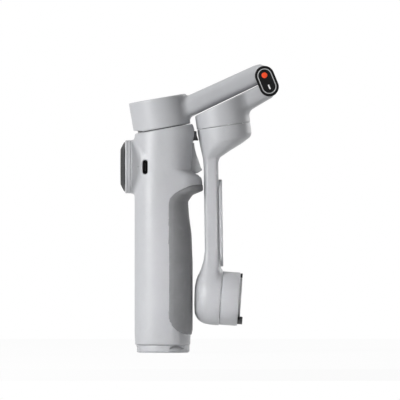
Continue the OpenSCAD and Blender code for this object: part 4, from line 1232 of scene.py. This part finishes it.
@dataclass
class TiltArm:
    """The long arm from the tilt motor down to the roll motor's dome."""

    tilt: Axes
    roll: Axes
    radius: float = 15.5
    split: float = 0.08
    front: float = 23.25
    thick: float = 8.5
    lean: float = 0.9
    top_z: float = 111.0
    low_z: float = 58.3
    back_x: float = 17.95
    dome_r: float = 15.4
    dome_h: float = 14.8
    cup_r: float = 12.8
    cup_h: float = 9.0
    strip_z: float = -36.65
    strip_half: float = 6.3
    strip_run: float = 18.75
    strip_t: float = 2.0
    screw_up: float = 20.05
    shaft_r: float = 2.0
    upper: Rows = (
        (-30.0, -14.1, -7.9, 6.9, 0.38), (-20.5, -14.6, -6.6, 7.4, 0.42), (-17.6, -14.4, -4.7, 8.1, 0.54),
        (-14.5, -14.8, 1.8, 10.6, 0.70), (-11.5, -15.1, 8.9, 13.2, 0.86), (-8.6, -15.35, 14.1, 14.9, 0.97),
        (-6.3, -15.5, 15.4, 15.5, 1.0), (0.0, -15.5, 15.5, 15.5, 1.0))
    long: Rows = (
        (-81.0, -5.0, 9.6, 14.2, 0.84), (-73.0, -4.9, 9.7, 13.4, 0.80), (-68.0, -4.0, 9.5, 12.1, 0.70),
        (-63.0, -2.4, 9.1, 10.4, 0.62), (-58.0, -0.8, 8.7, 8.6, 0.48), (-52.7, 0.0, 8.5, 7.5, 0.38),
        (-49.0, 0.0, 8.5, 7.5, 0.38), (9.0, 0.0, 8.5, 7.5, 0.38))
    dome: Outline = (
        (1.0, 0.0), (1.0, 0.25), (0.99, 0.43), (0.965, 0.57), (0.92, 0.69), (0.857, 0.79), (0.76, 0.875),
        (0.62, 0.945), (0.34, 0.99), (0.0, 1.0))

    def envelope(self) -> Solid:
        """The turned outline round the tilt axis that keeps the arm clear of the handle."""

        def seen(x: float, z: float) -> Spot:
            q = self.tilt.local(np.array([[x, 0.0, z]]))[0]
            return (float(-q[0]), float(q[2]))

        under = seen(self.back_x, -self.dome_r)
        return revolved(self.tilt, [
            (0.0, -self.split), (self.radius, -self.split), seen(self.front, self.top_z - 3),
            seen(self.front, self.low_z), seen(self.back_x, self.roll.origin[2] + 1.1 * self.dome_r),
            under, (0.0, under[1])])

    def arm(self) -> None:
        """The arm as one moulded form."""
        upper = lofted(self.tilt, [Level(*row) for row in self.upper]).kept(above(self.tilt, -29.0))
        long = lofted(self.post(), [Level(*row) for row in self.long])
        long = long.kept(below(UPRIGHT, self.top_z + 6)).kept(above(UPRIGHT, 30.0), 6.0)
        dome = revolved(self.roll, [(0.0, 0.5), (self.dome_r, 0.5), *(
            (self.dome_r * a, -self.dome_h * b) for a, b in self.dome)], 0.4)
        form = long.joined(dome, 2.5).kept(below(self.roll), 0.25).joined(upper, 1.0)
        form = form.kept(self.envelope(), 0.5).opened(
            (drum(self.tilt, self.shaft_r, -6.4, 1.0), 0.0),
            (drum(self.roll, self.cup_r, -self.cup_h, 2.0), 0.2),
            (slot_shape(self.strip_axes(), self.strip_half + GAP, self.strip_run, 0.0, 20.0), 0.15))
        piece = moulded("tilt_arm_skin", form, (17.0, -16.2, 14.5), (52.6, 16.2, 132.6))
        place(piece, "tilt_body", "body_plastic", LIGHT_GREY, "tilt_arm")

    def post(self) -> Axes:
        """Axes of the long arm, at the top of its front face: z runs up along it."""
        return Axes.leaning(self.front, self.top_z, -self.lean)

    def strip_axes(self) -> Axes:
        """Axes of the cover strip, in the middle of its seat: y runs up along it, z out of it."""
        post = self.post()
        return Axes(post.moved(self.thick, 0.0, self.strip_z).origin, post.y, post.z, post.x)

    def strip(self) -> None:
        """The strip that covers the arm's outer side."""
        axes = self.strip_axes()
        form = slot_shape(axes, self.strip_half, self.strip_run, 0.0, self.strip_t, 0.6)
        for side in (-1, 1):
            seat = axes.moved(0.0, side * self.screw_up, 0.0)
            form = form.opened((bore(seat, 1.12), 0.0), (drum(seat, 2.3, self.strip_t - 0.6, 9.0), 0.1))
        piece = moulded("arm_cover_strip_skin", form, (31.0, -6.9, 48.6), (36.0, 6.9, 100.2), 0.32)
        place(piece, "tilt_body", "body_plastic", LIGHT_GREY, "arm_cover_strip")

    def build(self) -> None:
        """Builds the arm, its cover strip and the screws."""
        self.arm()
        self.strip()
        place_eased("strip_screws", 0.12, "tilt_body", "steel", TURNED_STEEL)


@dataclass
class MountEnd:
    """The turning disc at the end of the roll motor, which takes the phone clamp."""

    roll: Axes
    radius: float = 15.4
    tall: float = 11.7
    split: float = 0.08
    plate_r: float = 12.2
    plate_t: float = 2.4
    rim_drop: float = 1.2

    def build(self) -> None:
        """Builds the disc and dresses its plate, magnets and lugs."""
        r, top = self.radius, self.tall - self.rim_drop
        floor = self.tall - self.plate_t
        outline = [(0.0, self.split), (r - 0.4, self.split), (r - 0.1, self.split + 0.12),
                   (r, self.split + 0.4), (r, top - 0.9), (r - 0.12, top - 0.4), (r - 0.4, top - 0.12),
                   (r - 0.9, top), (self.plate_r + 0.15, top), (self.plate_r, top - 0.12),
                   (self.plate_r, floor), (0.0, floor)]
        piece = turned("mount_disc_shell", self.roll, outline, 120)
        place(piece, "mount_body", "body_plastic", LIGHT_GREY, "mount_disc")
        for node, width, slot, finish in (("mount_plate", 0.15, "steel", MOUNT_STEEL),
                                          ("mount_lugs", 0.2, "black_plastic", DIAL_DARK),
                                          ("mount_magnets", 0.12, "magnet", MAGNET)):
            place_eased(node, width, "mount_body", slot, finish)


@dataclass
class Foot:
    """The closed tripod's legs, whose feet carry the handle."""

    radius: float = 15.3
    notch_r: float = 7.5
    notch_top: float = 4.0
    notch_side: float = 32.4
    groove: float = 1.0
    groove_sweep: float = 40.0
    fade_out: float = 52.0
    deep: float = 2.5

    def nail_groove(self, turn: float) -> Piece:
        """The curved groove over a foot's thumb notch, as a form that cuts."""
        out = np.array([math.cos(turn), math.sin(turn), 0.0])
        along, up = np.array([-math.sin(turn), math.cos(turn), 0.0]), np.array([0.0, 0.0, 1.0])
        angles = np.radians(np.linspace(-self.groove_sweep, self.groove_sweep, 21))
        outer, end = self.notch_r + 0.2, 2 * self.radius
        inner = outer - self.groove
        verts: list[np.ndarray] = []
        for a in angles:
            start = self.radius - 0.4 - self.deep * math.cos(a * 90 / self.fade_out)
            for reach, r in ((start, inner), (start, outer), (end, outer), (end, inner)):
                height = self.notch_top - self.notch_r + r * math.cos(a)
                verts.append(out * reach + along * r * math.sin(a) + up * height)
        last = 4 * (len(angles) - 1)
        faces = [(3, 2, 1, 0), (last, last + 1, last + 2, last + 3)]
        faces += [(4 * k + i, 4 * k + (i + 1) % 4, 4 * k + 4 + (i + 1) % 4, 4 * k + 4 + i)
                  for k in range(len(angles) - 1) for i in range(4)]
        cutter = piece_from("nail_groove", verts, faces)
        work = bmesh.new()
        work.from_mesh(cutter.data)
        bmesh.ops.recalc_face_normals(work, faces=work.faces)
        work.to_mesh(cutter.data)
        work.free()
        return cutter

    def build(self) -> None:
        """Rounds the legs' edges and cuts the three grooves."""
        legs = eased("tripod_legs", 0.3, segments=3)
        for leg in range(3):
            cutter = self.nail_groove(math.radians(120 * leg - 90 + self.notch_side))
            cut = legs.modifiers.new("groove", "BOOLEAN")
            cut.operation, cut.object, cut.solver = "DIFFERENCE", cutter, "EXACT"
            made_plain(legs)
            bpy.data.objects.remove(cutter)
        place(legs, "tripod", "body_plastic", LIGHT_GREY, "tripod_legs")


@dataclass
class Studio:
    """The camera, the lamps, the world and the floor."""

    look_at: tuple[float, float, float] = (21.3, 0.0, 87.7)
    seen_width: float = 230.0
    distance: float = 6.0
    sensor: float = 36.0
    ambient: float = 0.07
    floor_glow: float = 0.94
    middle: tuple[float, float, float] = (0.02, 0.0, 0.09)

    def camera(self) -> None:
        """A long lens at the photograph's angle."""
        data = bpy.data.cameras.new("photo_camera")
        data.sensor_width = self.sensor
        data.lens = self.sensor * self.distance / (self.seen_width * MM)
        data.clip_start, data.clip_end = 0.1, 20.0
        eye = linked("photo_camera", data)
        x, _, z = self.look_at
        eye.location = (x * MM, -self.distance, z * MM)
        eye.rotation_euler = (math.radians(90), 0.0, 0.0)
        bpy.context.scene.camera = eye

    def lamp(self, name: str, where: Sequence[float], aim: Sequence[float], size: float, watts: float,
             spread: float = 180.0) -> None:
        """Hangs one soft square lamp.

        Args:
            name: the lamp's name.
            where: its place in metres.
            aim: the point in metres that it shines at.
            size: its side in metres.
            watts: its power.
            spread: its beam's width in degrees.
        """
        data = bpy.data.lights.new(name, "AREA")
        data.shape, data.size, data.energy, data.spread = "SQUARE", size, watts, math.radians(spread)
        lamp = linked(name, data)
        lamp.location = where
        lamp.rotation_euler = (Vector(aim) - Vector(where)).to_track_quat("-Z", "Y").to_euler()

    def world(self) -> None:
        """A pale world that the camera, mirrors and glass see as white."""
        world = bpy.data.worlds.new("studio_world")
        bpy.context.scene.world = world
        world.use_nodes = True
        build = TreeBuilder(world.node_tree)
        build.tree.nodes.clear()
        seen = build.seen_directly()
        soft, white = (build.add("ShaderNodeBackground", None, {
            "Color": (1.0, 1.0, 1.0, 1.0), "Strength": strength}) for strength in (self.ambient, 1.0))
        mix = build.add("ShaderNodeMixShader", None, {0: seen, 1: build.out(soft), 2: build.out(white)})
        build.add("ShaderNodeOutputWorld", None, {"Surface": build.out(mix)})
        bpy.context.scene.view_settings.view_transform = "Standard"

    def floor(self) -> None:
        """A plain pale round floor just under the feet."""
        rings = [(0.0, -0.02), (300.0, -0.02), (600.0, -0.02), (600.0, -6.0), (0.0, -6.0)]
        floor = turned("studio_floor", UPRIGHT.at(self.look_at[0], 0.0, 0.0), rings, 128)
        pale = (0.93, 0.93, 0.93)
        build = FinishBuilder(Finish("pale_floor", pale, pale, 0.9, Grain.GLOSS, depth=0.0, mottle=0.0))
        material = build.build()
        own, end = (next(n for n in build.tree.nodes if n.type == kind)
                    for kind in ("BSDF_PRINCIPLED", "OUTPUT_MATERIAL"))
        white = build.add("ShaderNodeEmission", None, {"Strength": 1.0})
        mix = build.add("ShaderNodeMixShader", None, {
            0: build.seen_directly() * self.floor_glow, 1: build.out(own), 2: build.out(white)})
        build.tree.links.new(mix.outputs[0], end.inputs["Surface"])
        floor.data.materials.append(material)

    def build(self) -> None:
        """Sets up the whole studio."""
        self.camera()
        self.world()
        self.floor()
        self.lamp("key_lamp", (-0.95, -0.90, 0.40), self.middle, 0.55, 16.5)
        self.lamp("fill_lamp", (0.35, -1.3, 0.25), self.middle, 0.9, 0.8)
        self.lamp("low_lamp", (0.45, -1.3, 0.04), (0.035, 0.0, 0.03), 0.14, 0.014, 7.0)
        self.lamp("rear_lamp", (0.9, 0.8, 0.45), self.middle, 0.6, 4.5)
        self.lamp("top_lamp", (-0.1, 0.15, 1.2), (0.02, 0.0, 0.05), 0.9, 3.5)


def dress_solids() -> None:
    """Gives every solid that still shows its own finish."""
    for part in frame["record"]["subparts"]:
        node = frame["nodes"][part["node"]]
        if node.hide_render:
            continue
        finish = SLOT_FINISH[part["material_slot"]]
        node.data.materials.clear()
        node.data.materials.append(finish.material())
        LOG.info("%s keeps its solid, in %s", part["node"], finish.name)


def main() -> None:
    """Builds the studio and every sub-assembly."""
    logging.basicConfig(level=logging.INFO, format="%(name)s: %(message)s")
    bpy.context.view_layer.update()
    Studio().build()
    handle = Handle()
    handle.build()
    Dial(handle.dial_axes()).build()
    pan_arm = PanArm(handle.pan_axes())
    pan_arm.build()
    build_hinge()
    tilt = Axes.leaning(34.9, 130.3, -8.6)
    roll = Axes.leaning(33.2, 31.4, 94.0)
    FoldArm(pan_arm, tilt).build()
    TiltArm(tilt, roll).build()
    MountEnd(roll).build()
    Foot().build()
    dress_solids()


if __name__ == "__main__":
    main()
